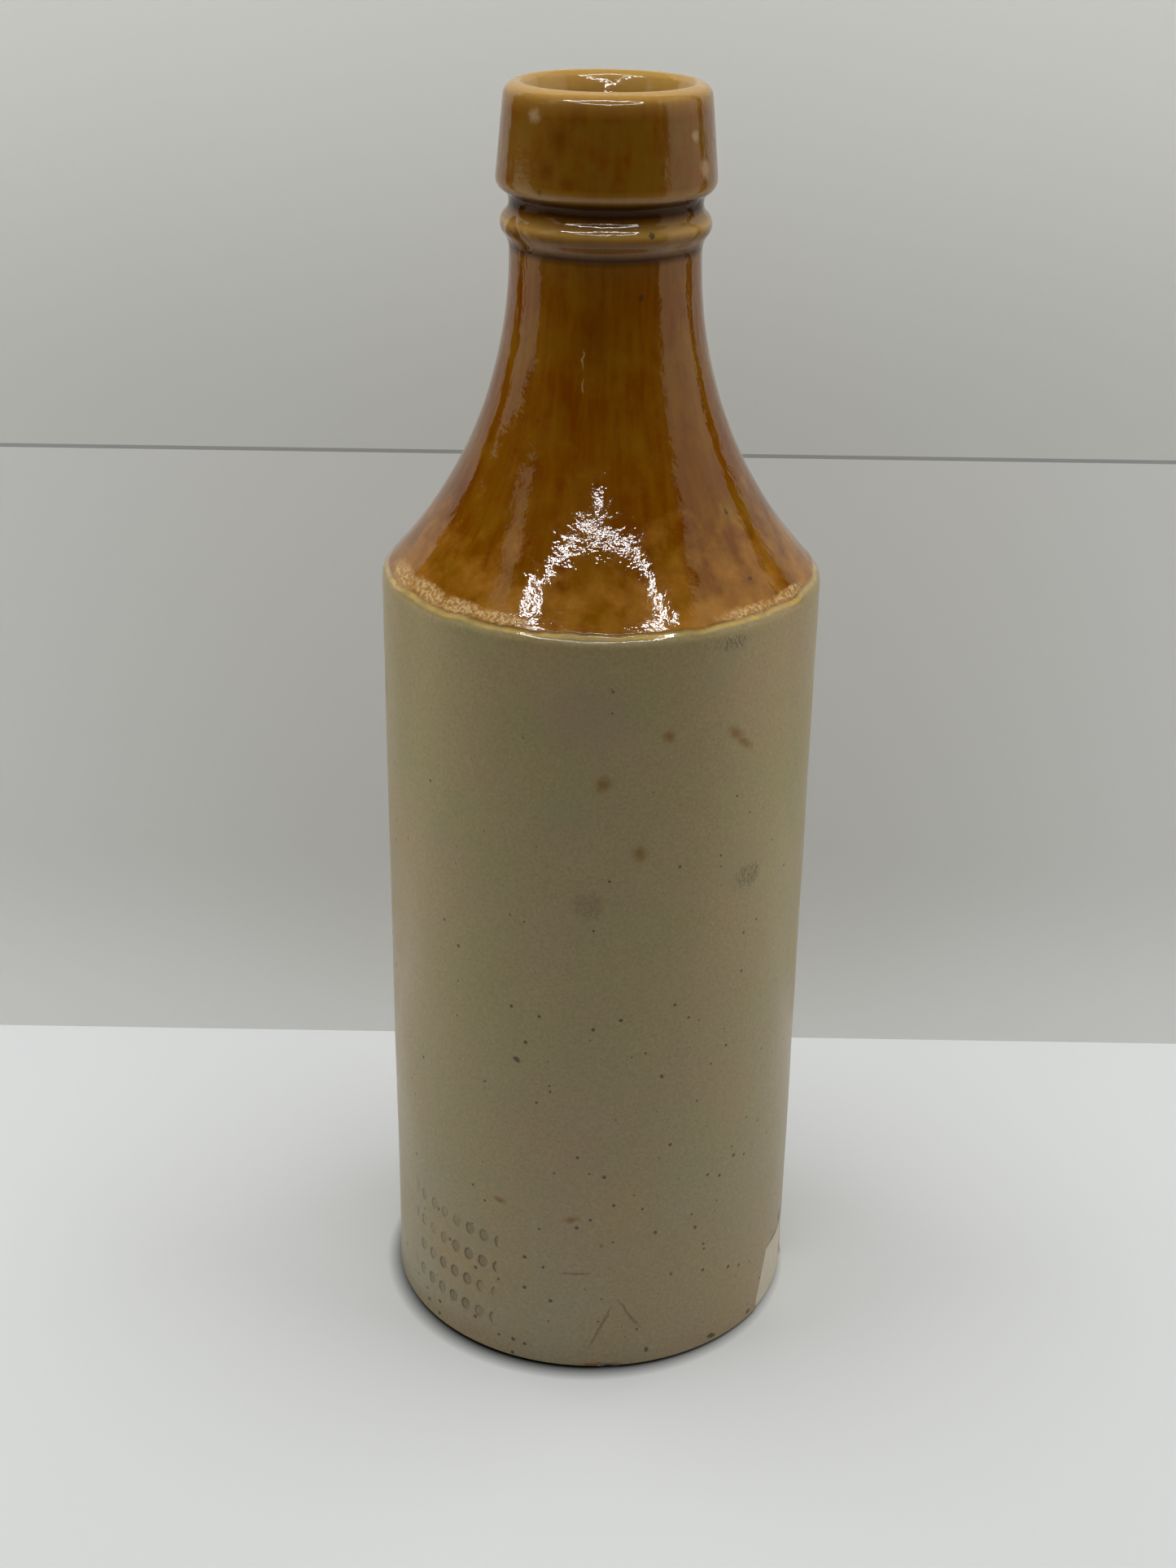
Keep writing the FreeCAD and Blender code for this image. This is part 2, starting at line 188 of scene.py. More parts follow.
def add_roughness(piece: bpy.types.Object, name: str, grain: float, depth: float,
                  level: float = 0.5, group: str = "") -> None:
    """Let a cloud pattern move a piece's skin in and out.

    Args:
        piece: Mesh that is moved.
        name: Name of the pattern and of its modifier.
        grain: Size of the pattern in millimetres.
        depth: Span of the movement in millimetres.
        level: Value of the pattern that moves nothing. At one, the skin only sinks.
        group: Vertex group that is moved, or none for all.
    """
    pattern = bpy.data.textures.new(name, "CLOUDS")
    pattern.noise_scale = grain * MM
    pattern.noise_depth = 2
    modifier = piece.modifiers.new(name, "DISPLACE")
    modifier.texture = pattern
    modifier.texture_coords = "LOCAL"
    modifier.strength = depth * MM
    modifier.mid_level = level
    modifier.vertex_group = group


# The form of the bottle

@dataclass(frozen=True)
class BottleForm:
    """Sizes of the bottle in millimetres, as its maker would give them."""

    height: float
    body_diameter: float
    heel_bevel: float = 0.7
    foot_ring_width: float = 8.0
    foot_dish_depth: float = 1.2
    foot_dish_run: float = 2.4
    shoulder_edge: float = 2.5
    sweep: float = 75.5
    neck_diameter: float = 31.2
    neck_straight: float = 0.6
    bead_root: float = 4.0
    bead_stand: float = 1.44
    bead: float = 2.5
    groove: float = 2.0
    groove_drop: float = 18.3
    lip_stand: float = 2.09
    lip_heel: float = 2.2
    lip_taper: float = 1.2
    rim: float = 2.4
    mouth_edge: float = 0.6
    mouth_depth: float = 10.5
    mouth_bow: float = 0.08
    mouth_turn_depth: float = 3.6
    mouth_turn_diameter: float = 24.8
    bore_diameter: float = 19.0
    wall: float = 6.0
    floor_bevel: float = 5.0
    floor: float = 8.0

    @classmethod
    def from_frame(cls) -> "BottleForm":
        """Take the height and the body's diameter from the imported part."""
        low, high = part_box(NODE)
        return cls(height=(high.z - low.z) / MM, body_diameter=(high.x - low.x) / MM)


@dataclass(frozen=True)
class Pitch:
    """How far apart the rows of the mesh lie, in millimetres."""

    wall: float = 1.3
    sweep: float = 0.9
    finish: float = 0.42
    inside: float = 6.0
    foot: float = 1.6


def turn_of(start: Vector, target: Vector) -> float:
    """Angle in degrees of the direction from one point of the section to another."""
    return math.degrees(math.atan2(target.y - start.y, target.x - start.x))


def centre_at(known: Vector, x: float, reach: float, side: int) -> Vector:
    """Find the centre of a rounding that touches a known one.

    Args:
        known: Centre of the rounding that it touches.
        x: Distance of the new centre from the axis.
        reach: Distance between the two centres.
        side: One for a centre above the known one, minus one for a centre below it.

    Returns:
        The new centre.
    """
    return Vector((x, known.y + side * math.sqrt(reach**2 - (x - known.x) ** 2)))


class Section:
    """Half section of the bottle as a chain of points, radius and height in millimetres."""

    def __init__(self, form: BottleForm, pitch: Pitch) -> None:
        """Draw the chain from the middle of the underside round to the middle of the cavity's floor.

        Args:
            form: Sizes of the bottle.
            pitch: How far apart the points lie.
        """
        self.points = [Vector((0.0, form.foot_dish_depth))]
        self.draw_foot(form, pitch)
        self.draw_outside(form, pitch)
        self.crest = len(self.points)
        self.draw_inside(form, pitch)

    def run(self, end: Vector, pitch: float, bow: float = 0.0) -> None:
        """Add a stretch up to a point.

        Args:
            end: Point that the stretch leads to.
            pitch: Distance between two points of the chain.
            bow: How far the middle of the stretch stands out to its right, zero for a straight one.
        """
        start = self.points[-1]
        count = max(1, round((end - start).length / pitch))
        across = Vector((end.y - start.y, start.x - end.x)).normalized() * bow
        for step in range(1, count + 1):
            share = step / count
            self.points.append(start.lerp(end, share) + 4 * share * (1 - share) * across)

    def turn(self, centre: Vector, radius: float, first: float, last: float, pitch: float) -> None:
        """Add an arc round a centre, from one angle in degrees to another.

        Args:
            centre: Middle of the arc.
            radius: Radius of the arc.
            first: Angle at which it starts.
            last: Angle at which it ends.
            pitch: Distance between two points of the chain.
        """
        count = max(3, round(radius * abs(math.radians(last - first)) / pitch))
        for step in range(1, count + 1):
            angle = math.radians(first + (last - first) * step / count)
            self.points.append(centre + radius * Vector((math.cos(angle), math.sin(angle))))

    def draw_foot(self, form: BottleForm, pitch: Pitch) -> None:
        """Draw the hollow of the underside, the standing ring and the trimmed heel.

        Args:
            form: Sizes of the bottle.
            pitch: How far apart the points lie.
        """
        body = form.body_diameter / 2
        ring = body - form.foot_ring_width
        self.run(Vector((ring - form.foot_dish_run, form.foot_dish_depth)), pitch.inside)
        self.run(Vector((ring, 0.0)), pitch.foot)
        self.run(Vector((body - form.heel_bevel, 0.0)), pitch.foot)
        self.run(Vector((body, form.heel_bevel)), form.heel_bevel / 2)

    def draw_outside(self, form: BottleForm, pitch: Pitch) -> None:
        """Draw the wall, shoulder, neck, bead, groove and lip, up to the crest of the rim.

        Args:
            form: Sizes of the bottle.
            pitch: How far apart the points lie.
        """
        body = form.body_diameter / 2
        neck = form.neck_diameter / 2
        groove = Vector((neck + form.groove, form.height - form.groove_drop))
        bead = centre_at(groove, neck + form.bead_stand - form.bead, form.groove + form.bead, -1)
        root = centre_at(bead, neck + form.bead_root, form.bead + form.bead_root, -1)
        self.waist = root.y - form.neck_straight
        self.sweep = Vector((neck + form.sweep, self.waist))
        edge = centre_at(self.sweep, body - form.shoulder_edge, form.sweep + form.shoulder_edge, -1)
        lip = centre_at(groove, neck + form.lip_stand - form.lip_heel, form.groove + form.lip_heel, 1)
        rim_out = neck + form.lip_stand - form.lip_taper - form.rim
        rim = Vector((rim_out, form.height - form.rim))
        lean = math.degrees(math.asin((form.lip_heel - form.rim) / (rim - lip).length))
        lip_face = turn_of(lip, rim) - 90 + lean
        self.run(Vector((body, edge.y)), pitch.wall)
        self.turn(edge, form.shoulder_edge, 0, turn_of(edge, self.sweep), pitch.finish)
        self.turn(self.sweep, form.sweep, 180 + turn_of(edge, self.sweep), 180, pitch.sweep)
        self.run(Vector((neck, root.y)), pitch.finish)
        self.turn(root, form.bead_root, 180, turn_of(root, bead), pitch.finish)
        self.turn(bead, form.bead, turn_of(bead, root), turn_of(bead, groove), pitch.finish)
        self.turn(groove, form.groove, 360 + turn_of(groove, bead), turn_of(groove, lip), pitch.finish)
        self.turn(lip, form.lip_heel, turn_of(lip, groove), lip_face, pitch.finish)
        tip = rim + form.rim * Vector((math.cos(math.radians(lip_face)), math.sin(math.radians(lip_face))))
        self.run(tip, 2 * pitch.finish)
        self.turn(rim, form.rim, lip_face, 90, pitch.finish)

    def draw_inside(self, form: BottleForm, pitch: Pitch) -> None:
        """Draw the sloping mouth, the bore and the cavity, down to the middle of its floor.

        Args:
            form: Sizes of the bottle.
            pitch: How far apart the points lie.
        """
        bore = form.bore_diameter / 2
        cavity = form.body_diameter / 2 - form.wall
        mouth = self.points[-1] - Vector((0.0, form.mouth_edge))
        turn = Vector((form.mouth_turn_diameter / 2, form.height - form.mouth_turn_depth))
        gap = (mouth - turn).length
        bend = math.degrees(math.atan(4 * form.mouth_bow / gap))
        slope = turn_of(turn, mouth) + math.degrees(math.asin(form.mouth_edge / gap)) - bend
        inner = self.sweep.x - bore
        wall_top = centre_at(self.sweep, cavity, inner, -1)
        self.turn(mouth, form.mouth_edge, 90, 90 + slope, pitch.finish / 2)
        self.run(turn, pitch.finish, form.mouth_bow)
        self.run(Vector((bore, form.height - form.mouth_depth)), pitch.finish)
        self.run(Vector((bore, self.waist)), 2.0)
        self.turn(self.sweep, inner, 180, 180 + turn_of(wall_top, self.sweep), pitch.inside / 2)
        self.run(Vector((cavity, form.floor + form.floor_bevel)), pitch.inside)
        self.run(Vector((cavity - form.floor_bevel, form.floor)), pitch.foot)
        self.run(Vector((0.0, form.floor)), pitch.inside)

    def radius_at(self, height: float) -> float:
        """Radius of the outside at a height, both in millimetres.

        Args:
            height: Height above the standing face.

        Returns:
            The radius there, or that of the rim's crest above it.
        """
        for lower, upper in zip(self.points[:self.crest], self.points[1:self.crest]):
            if lower.y <= height <= upper.y and lower.x > 1.0 and upper.y > lower.y:
                return lower.lerp(upper, (height - lower.y) / (upper.y - lower.y)).x
        return self.points[self.crest - 1].x


# Finishes

class Skin:
    """Places on the bottle's skin that its finishes read, in millimetres, within one node tree."""

    def __init__(self, tree: bpy.types.NodeTree) -> None:
        """Make the coordinates: the place, the height, the distance from the axis and the run.

        Args:
            tree: Node tree of the finish.
        """
        self.tree = tree
        place = add_node(tree, "TexCoord").node.outputs["Object"]
        self.place = add_node(tree, "VectorMath", {0: place, "Scale": 1 / MM}, operation="SCALE")
        self.height = add_node(tree, "SeparateXYZ", {0: self.place}).node.outputs["Z"]
        flat = add_node(tree, "VectorMath", {0: self.place, 1: (1.0, 1.0, 0.0)}, operation="MULTIPLY")
        self.spread = add_node(tree, "VectorMath", {0: flat}, operation="LENGTH")
        ring = add_node(tree, "VectorMath", {0: flat}, operation="NORMALIZE")
        wide = add_node(tree, "VectorMath", {0: ring, "Scale": 22.0}, operation="SCALE")
        down = add_node(tree, "VectorMath", {0: self.place, 1: (0.0, 0.0, 0.16)}, operation="MULTIPLY")
        self.run = add_node(tree, "VectorMath", {0: wide, 1: down}, operation="ADD")


@dataclass
class Coat:
    """What lies on the clay so far: colour, roughness, relief in millimetres and strength of gloss."""

    colour: Any
    rough: Any
    relief: Any
    gloss: Any = 0.5


@dataclass(frozen=True)
class BuffSaltGlaze:
    """Thin satin salt glaze over stoneware, wiped off the foot and peppered by the iron in the clay."""

    # The eye gets a dull, close-grained buff that drifts between cool and warm, with soft edges to
    # its highlights. The grain of salt glaze is about 0.3 mm and its specks are down to 0.1 mm. Both
    # are drawn about twice as coarse, because they'd be lost at the size of the picture.

    cool: str = "8C8154"
    grey: str = "8F8566"
    warm: str = "948059"
    pink: str = "957C60"
    pepper: str = "382C18"
    bare_clay: str = "A18E6E"
    roughness: float = 0.33
    cloud_size: float = 24.0
    grain_size: float = 0.6
    speck_spacing: float = 2.3
    speck_growth: float = 0.33
    peel_size: float = 2.2
    peel_depth: float = 0.06
    pit_depth: float = 0.03

    def coat(self, skin: Skin) -> Coat:
        """Colour and grain the glaze.

        Args:
            skin: Places that the patterns read.

        Returns:
            The coat of bare glaze, before any mark.
        """
        tree = skin.tree
        # Clouds of cool and warm buff, greyer towards the foot, with a blush where the flame reached.
        cloud = add_node(tree, "TexNoise", {
            "Vector": skin.place, "Scale": 1 / self.cloud_size, "Detail": 5.0, "Roughness": 0.6})
        patch = add_node(tree, "MapRange", {"Value": cloud, "From Min": 0.35, "From Max": 0.65})
        rise = add_node(tree, "MapRange", {"Value": skin.height, "From Min": 5.0, "From Max": 75.0})
        cool = add_node(tree, "Mix", {"Factor": rise, "A": self.grey, "B": self.cool}, data_type="RGBA")
        colour = add_node(tree, "Mix", {"Factor": patch, "A": cool, "B": self.warm}, data_type="RGBA")
        parts = add_node(tree, "SeparateColor", {0: cloud.node.outputs["Color"]})
        flush = add_node(tree, "MapRange", {
            "Value": parts.node.outputs["Blue"], "From Min": 0.5, "From Max": 0.7, "To Max": 0.4})
        colour = add_node(tree, "Mix", {"Factor": flush, "A": colour, "B": self.pink}, data_type="RGBA")
        # Close grain, light and dark, as salt vapour leaves it.
        grain = add_node(tree, "TexNoise", {
            "Vector": skin.place, "Scale": 1 / self.grain_size, "Detail": 3.0, "Roughness": 0.75})
        shade = add_node(tree, "MapRange", {
            "Value": grain, "From Min": 0.3, "From Max": 0.7, "To Min": 0.84, "To Max": 1.16})
        colour = add_node(tree, "VectorMath", {0: colour, "Scale": shade}, operation="SCALE")
        pits = self.pepper_mask(skin)
        colour = add_node(tree, "Mix", {"Factor": pits, "A": colour, "B": self.pepper}, data_type="RGBA")
        rough = add_node(tree, "MapRange", {
            "Value": parts.node.outputs["Green"], "From Min": 0.3, "From Max": 0.7,
            "To Min": self.roughness - 0.06, "To Max": self.roughness + 0.08})
        peel = add_node(tree, "TexNoise", {
            "Vector": skin.place, "Scale": 1 / self.peel_size, "Detail": 2.0, "Roughness": 0.55})
        relief = add_node(tree, "Math", {0: peel, 1: self.peel_depth}, operation="MULTIPLY")
        relief = add_node(tree, "Math", {0: pits, 1: -self.pit_depth, 2: relief}, operation="MULTIPLY_ADD")
        return Coat(colour, rough, relief)

    def pepper_mask(self, skin: Skin) -> bpy.types.NodeSocket:
        """Scatter the iron specks, more of them towards the foot.

        Args:
            skin: Places that the patterns read.

        Returns:
            One on a speck, zero off it.
        """
        tree = skin.tree
        cells = add_node(tree, "TexVoronoi", {"Vector": skin.place, "Scale": 1 / self.speck_spacing})
        dice = add_node(tree, "SeparateColor", {0: cells.node.outputs["Color"]})
        lack = add_node(tree, "MapRange", {
            "Value": skin.height, "From Min": 10.0, "From Max": 140.0, "To Min": 0.4, "To Max": 0.65})
        size = add_node(tree, "Math", {0: dice, 1: lack}, operation="SUBTRACT")
        size = add_node(tree, "Math", {0: size, 1: self.speck_growth}, operation="MULTIPLY")
        speck = add_node(tree, "Math", {0: size, 1: cells}, operation="SUBTRACT")
        return add_node(tree, "MapRange", {
            "Value": speck, "From Min": -0.02, "From Max": 0.03, "To Max": 0.85})

    def wipe_foot(self, skin: Skin, coat: Coat) -> None:
        """Bare the clay of the standing ring, up to a ragged line just above it.

        Args:
            skin: Places that the patterns read.
            coat: Coat that is changed.
        """
        tree = skin.tree
        wave = add_node(tree, "TexNoise", {"Vector": skin.place, "Scale": 0.4, "Detail": 4.0})
        rise = add_node(tree, "Math", {0: wave, 1: 1.1, 2: skin.height}, operation="MULTIPLY_ADD")
        bare = add_node(tree, "MapRange", {
            "Value": rise, "From Min": 0.55, "From Max": 1.0, "To Min": 0.7, "To Max": 0.0})
        coat.colour = add_node(tree, "Mix", {
            "Factor": bare, "A": coat.colour, "B": self.bare_clay}, data_type="RGBA")
        coat.rough = add_node(tree, "Mix", {"Factor": bare, "A": coat.rough, "B": 0.8})


@dataclass(frozen=True)
class AmberLeadGlaze:
    """Thick clear amber glaze, dipped and run: it pools brown in the grooves and breaks pale on edges."""

    # The eye gets deep, wet, streaked amber with sharp highlights that its ripple breaks into beads.
    # The fine ripple is really about 0.3 mm and is drawn at 0.6 mm, so that the beads show.

    deep: str = "663300"
    mid: str = "744602"
    olive: str = "785009"
    honey: str = "A06C22"
    thin: str = "B6924C"
    smoked: str = "6C4E12"
    pooled_and_shade: str = "260F02"
    dip_line: str = "C2A058"
    edge_height: float = 142.0
    edge_wander: float = 1.6
    line_width: float = 0.55
    thickness: float = 0.12
    roughness: float = 0.05
    worn_lip: float = 0.07
    streak_size: float = 1.7
    peel_size: float = 2.8
    peel_depth: float = 0.09
    ripple_depth: float = 0.09
    sparkle_size: float = 0.6
    sparkle_depth: float = 0.022
    finish_foot: float = 190.0
    finish_tall: float = 30.0
    thin_stops: tuple[tuple[float, float], ...] = (
        (190.0, 0.0), (197.8, 0.15), (199.2, 0.65), (200.8, 0.1), (203.8, 0.1), (204.8, 0.3),
        (206.0, 0.0), (216.0, 0.0), (218.3, 0.3), (219.4, 0.65))
    # Heights where the glaze is darkened, under the bead and in the groove: pooled glaze and painted shade.
    pool_and_shade_stops: tuple[tuple[float, float], ...] = (
        (190.0, 0.0), (194.0, 0.1), (195.2, 0.85), (196.4, 0.2), (198.0, 0.3), (199.0, 0.0),
        (200.6, 0.2), (201.6, 0.9), (203.4, 0.9), (204.4, 0.0))
    lip_stops: tuple[tuple[float, float], ...] = (
        (190.0, 0.0), (204.5, 0.0), (206.5, 1.0), (215.5, 1.0), (217.5, 0.0))

    def coat(self, skin: Skin) -> Coat:
        """Colour and ripple the glaze.

        Args:
            skin: Places that the patterns read.

        Returns:
            The coat of bare glaze, before any mark.
        """
        tree = skin.tree
        peel = add_node(tree, "TexNoise", {
            "Vector": skin.place, "Scale": 1 / self.peel_size, "Detail": 1.0})
        ripple = add_node(tree, "TexNoise", {"Vector": skin.run, "Scale": 0.35, "Detail": 1.0})
        fine = add_node(tree, "TexNoise", {
            "Vector": skin.place, "Scale": 1 / self.sparkle_size, "Detail": 1.0})
        relief = add_node(tree, "Math", {0: peel, 1: self.peel_depth}, operation="MULTIPLY")
        relief = add_node(tree, "Math", {0: ripple, 1: self.ripple_depth, 2: relief},
                          operation="MULTIPLY_ADD")
        relief = add_node(tree, "Math", {0: fine, 1: self.sparkle_depth, 2: relief},
                          operation="MULTIPLY_ADD")
        cloud = add_node(tree, "TexNoise", {"Vector": skin.place, "Scale": 0.16, "Detail": 4.0})
        rough = add_node(tree, "MapRange", {
            "Value": cloud, "From Min": 0.4, "From Max": 0.75,
            "To Min": self.roughness, "To Max": self.roughness + 0.05})
        coat = Coat(self.honey_patches(skin, self.streaks(skin)), rough, relief)
        self.thin_pool_and_shade(skin, coat)
        return coat

    def streaks(self, skin: Skin) -> bpy.types.NodeSocket:
        """Colour the glaze in runs of deeper and lighter amber, mottled with olive.

        Args:
            skin: Places that the patterns read.

        Returns:
            The colour so far.
        """
        tree = skin.tree
        streak = add_node(tree, "TexNoise", {
            "Vector": skin.run, "Scale": 1 / self.streak_size, "Detail": 3.0, "Roughness": 0.55})
        share = add_node(tree, "MapRange", {"Value": streak, "From Min": 0.32, "From Max": 0.68})
        colour = add_node(tree, "Mix", {"Factor": share, "A": self.deep, "B": self.mid}, data_type="RGBA")
        mottle = add_node(tree, "TexNoise", {
            "Vector": skin.place, "Scale": 0.12, "Detail": 6.0, "Roughness": 0.65})
        share = add_node(tree, "MapRange", {"Value": mottle, "From Min": 0.45, "From Max": 0.75})
        return add_node(tree, "Mix", {"Factor": share, "A": colour, "B": self.olive}, data_type="RGBA")

    def honey_patches(self, skin: Skin, colour: bpy.types.NodeSocket) -> bpy.types.NodeSocket:
        """Let the clay shine through in patches low on the shoulder, where the glaze is thinner.

        Args:
            skin: Places that the patterns read.
            colour: The colour so far.

        Returns:
            The colour with the patches.
        """
        tree = skin.tree
        low = add_node(tree, "MapRange", {
            "Value": skin.height, "From Min": 172.0, "From Max": 144.0, "To Min": -0.4, "To Max": 0.04})
        honey = add_node(tree, "TexNoise", {
            "Vector": skin.place, "Scale": 0.16, "Detail": 5.0, "Roughness": 0.6})
        honey = add_node(tree, "Math", {0: honey, 1: low}, operation="ADD")
        share = add_node(tree, "MapRange", {
            "Value": honey, "From Min": 0.36, "From Max": 0.66, "To Max": 0.8})
        return add_node(tree, "Mix", {"Factor": share, "A": colour, "B": self.honey}, data_type="RGBA")

    def thin_pool_and_shade(self, skin: Skin, coat: Coat) -> None:
        """Break the glaze pale over the bead, the lip and the mouth, and darken it in the grooves.

        The grooves are darker partly for the glaze that pools in them and partly as painted shade, and the
        pools are dulled by old dirt; handling has dulled the face of the lip.

        Args:
            skin: Places that the patterns read.
            coat: Coat that is changed.
        """
        tree = skin.tree
        inside = add_node(tree, "MapRange", {
            "Value": skin.spread, "From Min": 13.4, "From Max": 14.2, "To Min": 0.55, "To Max": 0.0})
        coat.colour = add_node(tree, "Mix", {
            "Factor": inside, "A": coat.colour, "B": self.thin}, data_type="RGBA")
        share = add_node(tree, "MapRange", {
            "Value": skin.height, "From Min": self.finish_foot,
            "From Max": self.finish_foot + self.finish_tall})
        thin, pool_and_shade, lip = (add_node(tree, "ValToRGB", {0: share}) for _ in range(3))
        for ramp, stops in ((thin, self.thin_stops), (pool_and_shade, self.pool_and_shade_stops), (lip, self.lip_stops)):
            self.set_stops(ramp.node.color_ramp, stops)
        for ramp, shade in ((thin, self.thin), (pool_and_shade, self.pooled_and_shade)):
            coat.colour = add_node(tree, "Mix", {
                "Factor": ramp, "A": coat.colour, "B": shade}, data_type="RGBA")
        smoke = add_node(tree, "TexNoise", {
            "Vector": skin.place, "Scale": 0.24, "Detail": 5.0, "Roughness": 0.65})
        smoke = add_node(tree, "MapRange", {
            "Value": smoke, "From Min": 0.36, "From Max": 0.66, "To Min": 0.05, "To Max": 0.75})
        smoke = add_node(tree, "Math", {0: smoke, 1: lip}, operation="MULTIPLY")
        coat.colour = add_node(tree, "Mix", {
            "Factor": smoke, "A": coat.colour, "B": self.smoked}, data_type="RGBA")
        coat.rough = add_node(tree, "Math", {
            0: lip, 1: self.worn_lip, 2: coat.rough}, operation="MULTIPLY_ADD")
        coat.gloss = add_node(tree, "MapRange", {"Value": pool_and_shade, "To Min": 0.5, "To Max": 0.08})

    def set_stops(self, ramp: bpy.types.ColorRamp, stops: tuple[tuple[float, float], ...]) -> None:
        """Give a ramp over the neck's finish its stops.

        Args:
            ramp: Ramp with the two stops it starts with.
            stops: Heights in millimetres, from low to high, each with a grey level.
        """
        ramp.elements.remove(ramp.elements[-1])
        for number, (height, level) in enumerate(stops):
            position = (height - self.finish_foot) / self.finish_tall
            stop = ramp.elements[0] if number == 0 else ramp.elements.new(position)
            stop.position = position
            stop.color = (level, level, level, 1.0)

    def dip_over(self, skin: Skin, under: Coat) -> Coat:
        """Lay the amber coat over another one, down to the edge of the dip and its broken pale line.

        Args:
            skin: Places that the patterns read.
            under: The coat below.

        Returns:
            Both coats as one.
        """
        tree = skin.tree
        over = self.coat(skin)
        wave = add_node(tree, "TexNoise", {"Vector": skin.run, "Scale": 0.22, "Detail": 4.0})
        level = add_node(tree, "Math", {0: wave, 1: -self.edge_wander, 2: skin.height},
                         operation="MULTIPLY_ADD")
        edge = self.edge_height - self.edge_wander / 2
        dip = add_node(tree, "MapRange", {
            "Value": level, "From Min": edge - 0.25, "From Max": edge + 0.35},
            interpolation_type="SMOOTHSTEP")
        colour = add_node(tree, "Mix", {
            "Factor": dip, "A": under.colour, "B": over.colour}, data_type="RGBA")
        # The edge itself is a glossy roll of glaze, so the gloss reaches past the colour.
        wet = add_node(tree, "MapRange", {"Value": level, "From Min": edge - 1.1, "From Max": edge - 0.7})
        rough = add_node(tree, "Mix", {"Factor": wet, "A": under.rough, "B": over.rough})
        relief = add_node(tree, "Mix", {"Factor": dip, "A": under.relief, "B": over.relief})
        relief = add_node(tree, "Math", {0: dip, 1: self.thickness, 2: relief}, operation="MULTIPLY_ADD")
        away = add_node(tree, "Math", {0: level, 1: edge - self.line_width / 2}, operation="SUBTRACT")
        away = add_node(tree, "Math", {0: away}, operation="ABSOLUTE")
        gaps = add_node(tree, "TexNoise", {"Vector": skin.run, "Scale": 0.5, "Detail": 3.0})
        gaps = add_node(tree, "MapRange", {
            "Value": gaps, "From Min": 0.35, "From Max": 0.65, "To Min": 0.3, "To Max": 1.0})
        line = add_node(tree, "MapRange", {
            "Value": away, "From Min": self.line_width * 0.3, "From Max": self.line_width * 0.8,
            "To Min": gaps, "To Max": 0.0}, interpolation_type="SMOOTHSTEP")
        colour = add_node(tree, "Mix", {"Factor": line, "A": colour, "B": self.dip_line}, data_type="RGBA")
        return Coat(colour, rough, relief, over.gloss)


class MarkKind(Enum):
    """What left a mark: colour, strength, the share of it that is full, roughness and relief in mm."""

    IRON = ("342313", 0.85, 0.45, 0.35, 0.0)
    STAIN = ("785614", 0.85, 0.15, 0.4, 0.0)
    RED_BROWN = ("522100", 0.5, 0.0, 0.1, 0.0)
    BLUSH = ("8D755F", 0.35, 0.3, 0.4, 0.0)
    ASH = ("84805A", 0.35, 0.2, 0.5, 0.0)
    SCUFF = ("B0946A", 0.45, 0.2, 0.5, 0.0)
    RUST = ("7E471D", 0.9, 0.4, 0.6, 0.0)
    SCUM = ("CCA566", 0.85, 0.4, 0.35, 0.14)
    PEBBLE = ("7A6A42", 0.5, 0.3, 0.45, 0.3)
    CRACK = ("544628", 0.45, 0.3, 0.5, -0.14)
    RIDGE = ("AC9B70", 0.5, 0.3, 0.4, 0.12)


@dataclass(frozen=True)
class Mark:
    """One mark on the outside, placed by its bearing and height."""

    kind: MarkKind
    bearing: float
    height: float
    across: float
    tall: float
    lean: float = 0.0

    def reach(self, skin: Skin, section: Section, ragged: bpy.types.NodeSocket) -> bpy.types.NodeSocket:
        """Measure how far a place lies from the mark's middle, as a share of the mark's size.

        Args:
            skin: Places that the patterns read.
            section: Section of the bottle, which gives the mark its place on the skin.
            ragged: Places on the skin, shifted a little so that the mark's edge is ragged.

        Returns:
            Zero in the middle and one at the edge.
        """
        centre = around(self.bearing, section.radius_at(self.height), self.height)
        if self.across == self.tall:
            away = add_node(skin.tree, "VectorMath", {0: ragged, 1: centre}, operation="DISTANCE")
            return add_node(skin.tree, "Math", {0: away, 1: self.across}, operation="DIVIDE")
        local = add_node(skin.tree, "Mapping", {
            "Vector": ragged, "Location": centre, "Scale": (3.0, self.across, self.tall),
            "Rotation": (math.radians(self.lean), 0.0, math.radians(self.bearing))}, vector_type="TEXTURE")
        return add_node(skin.tree, "VectorMath", {0: local}, operation="LENGTH")


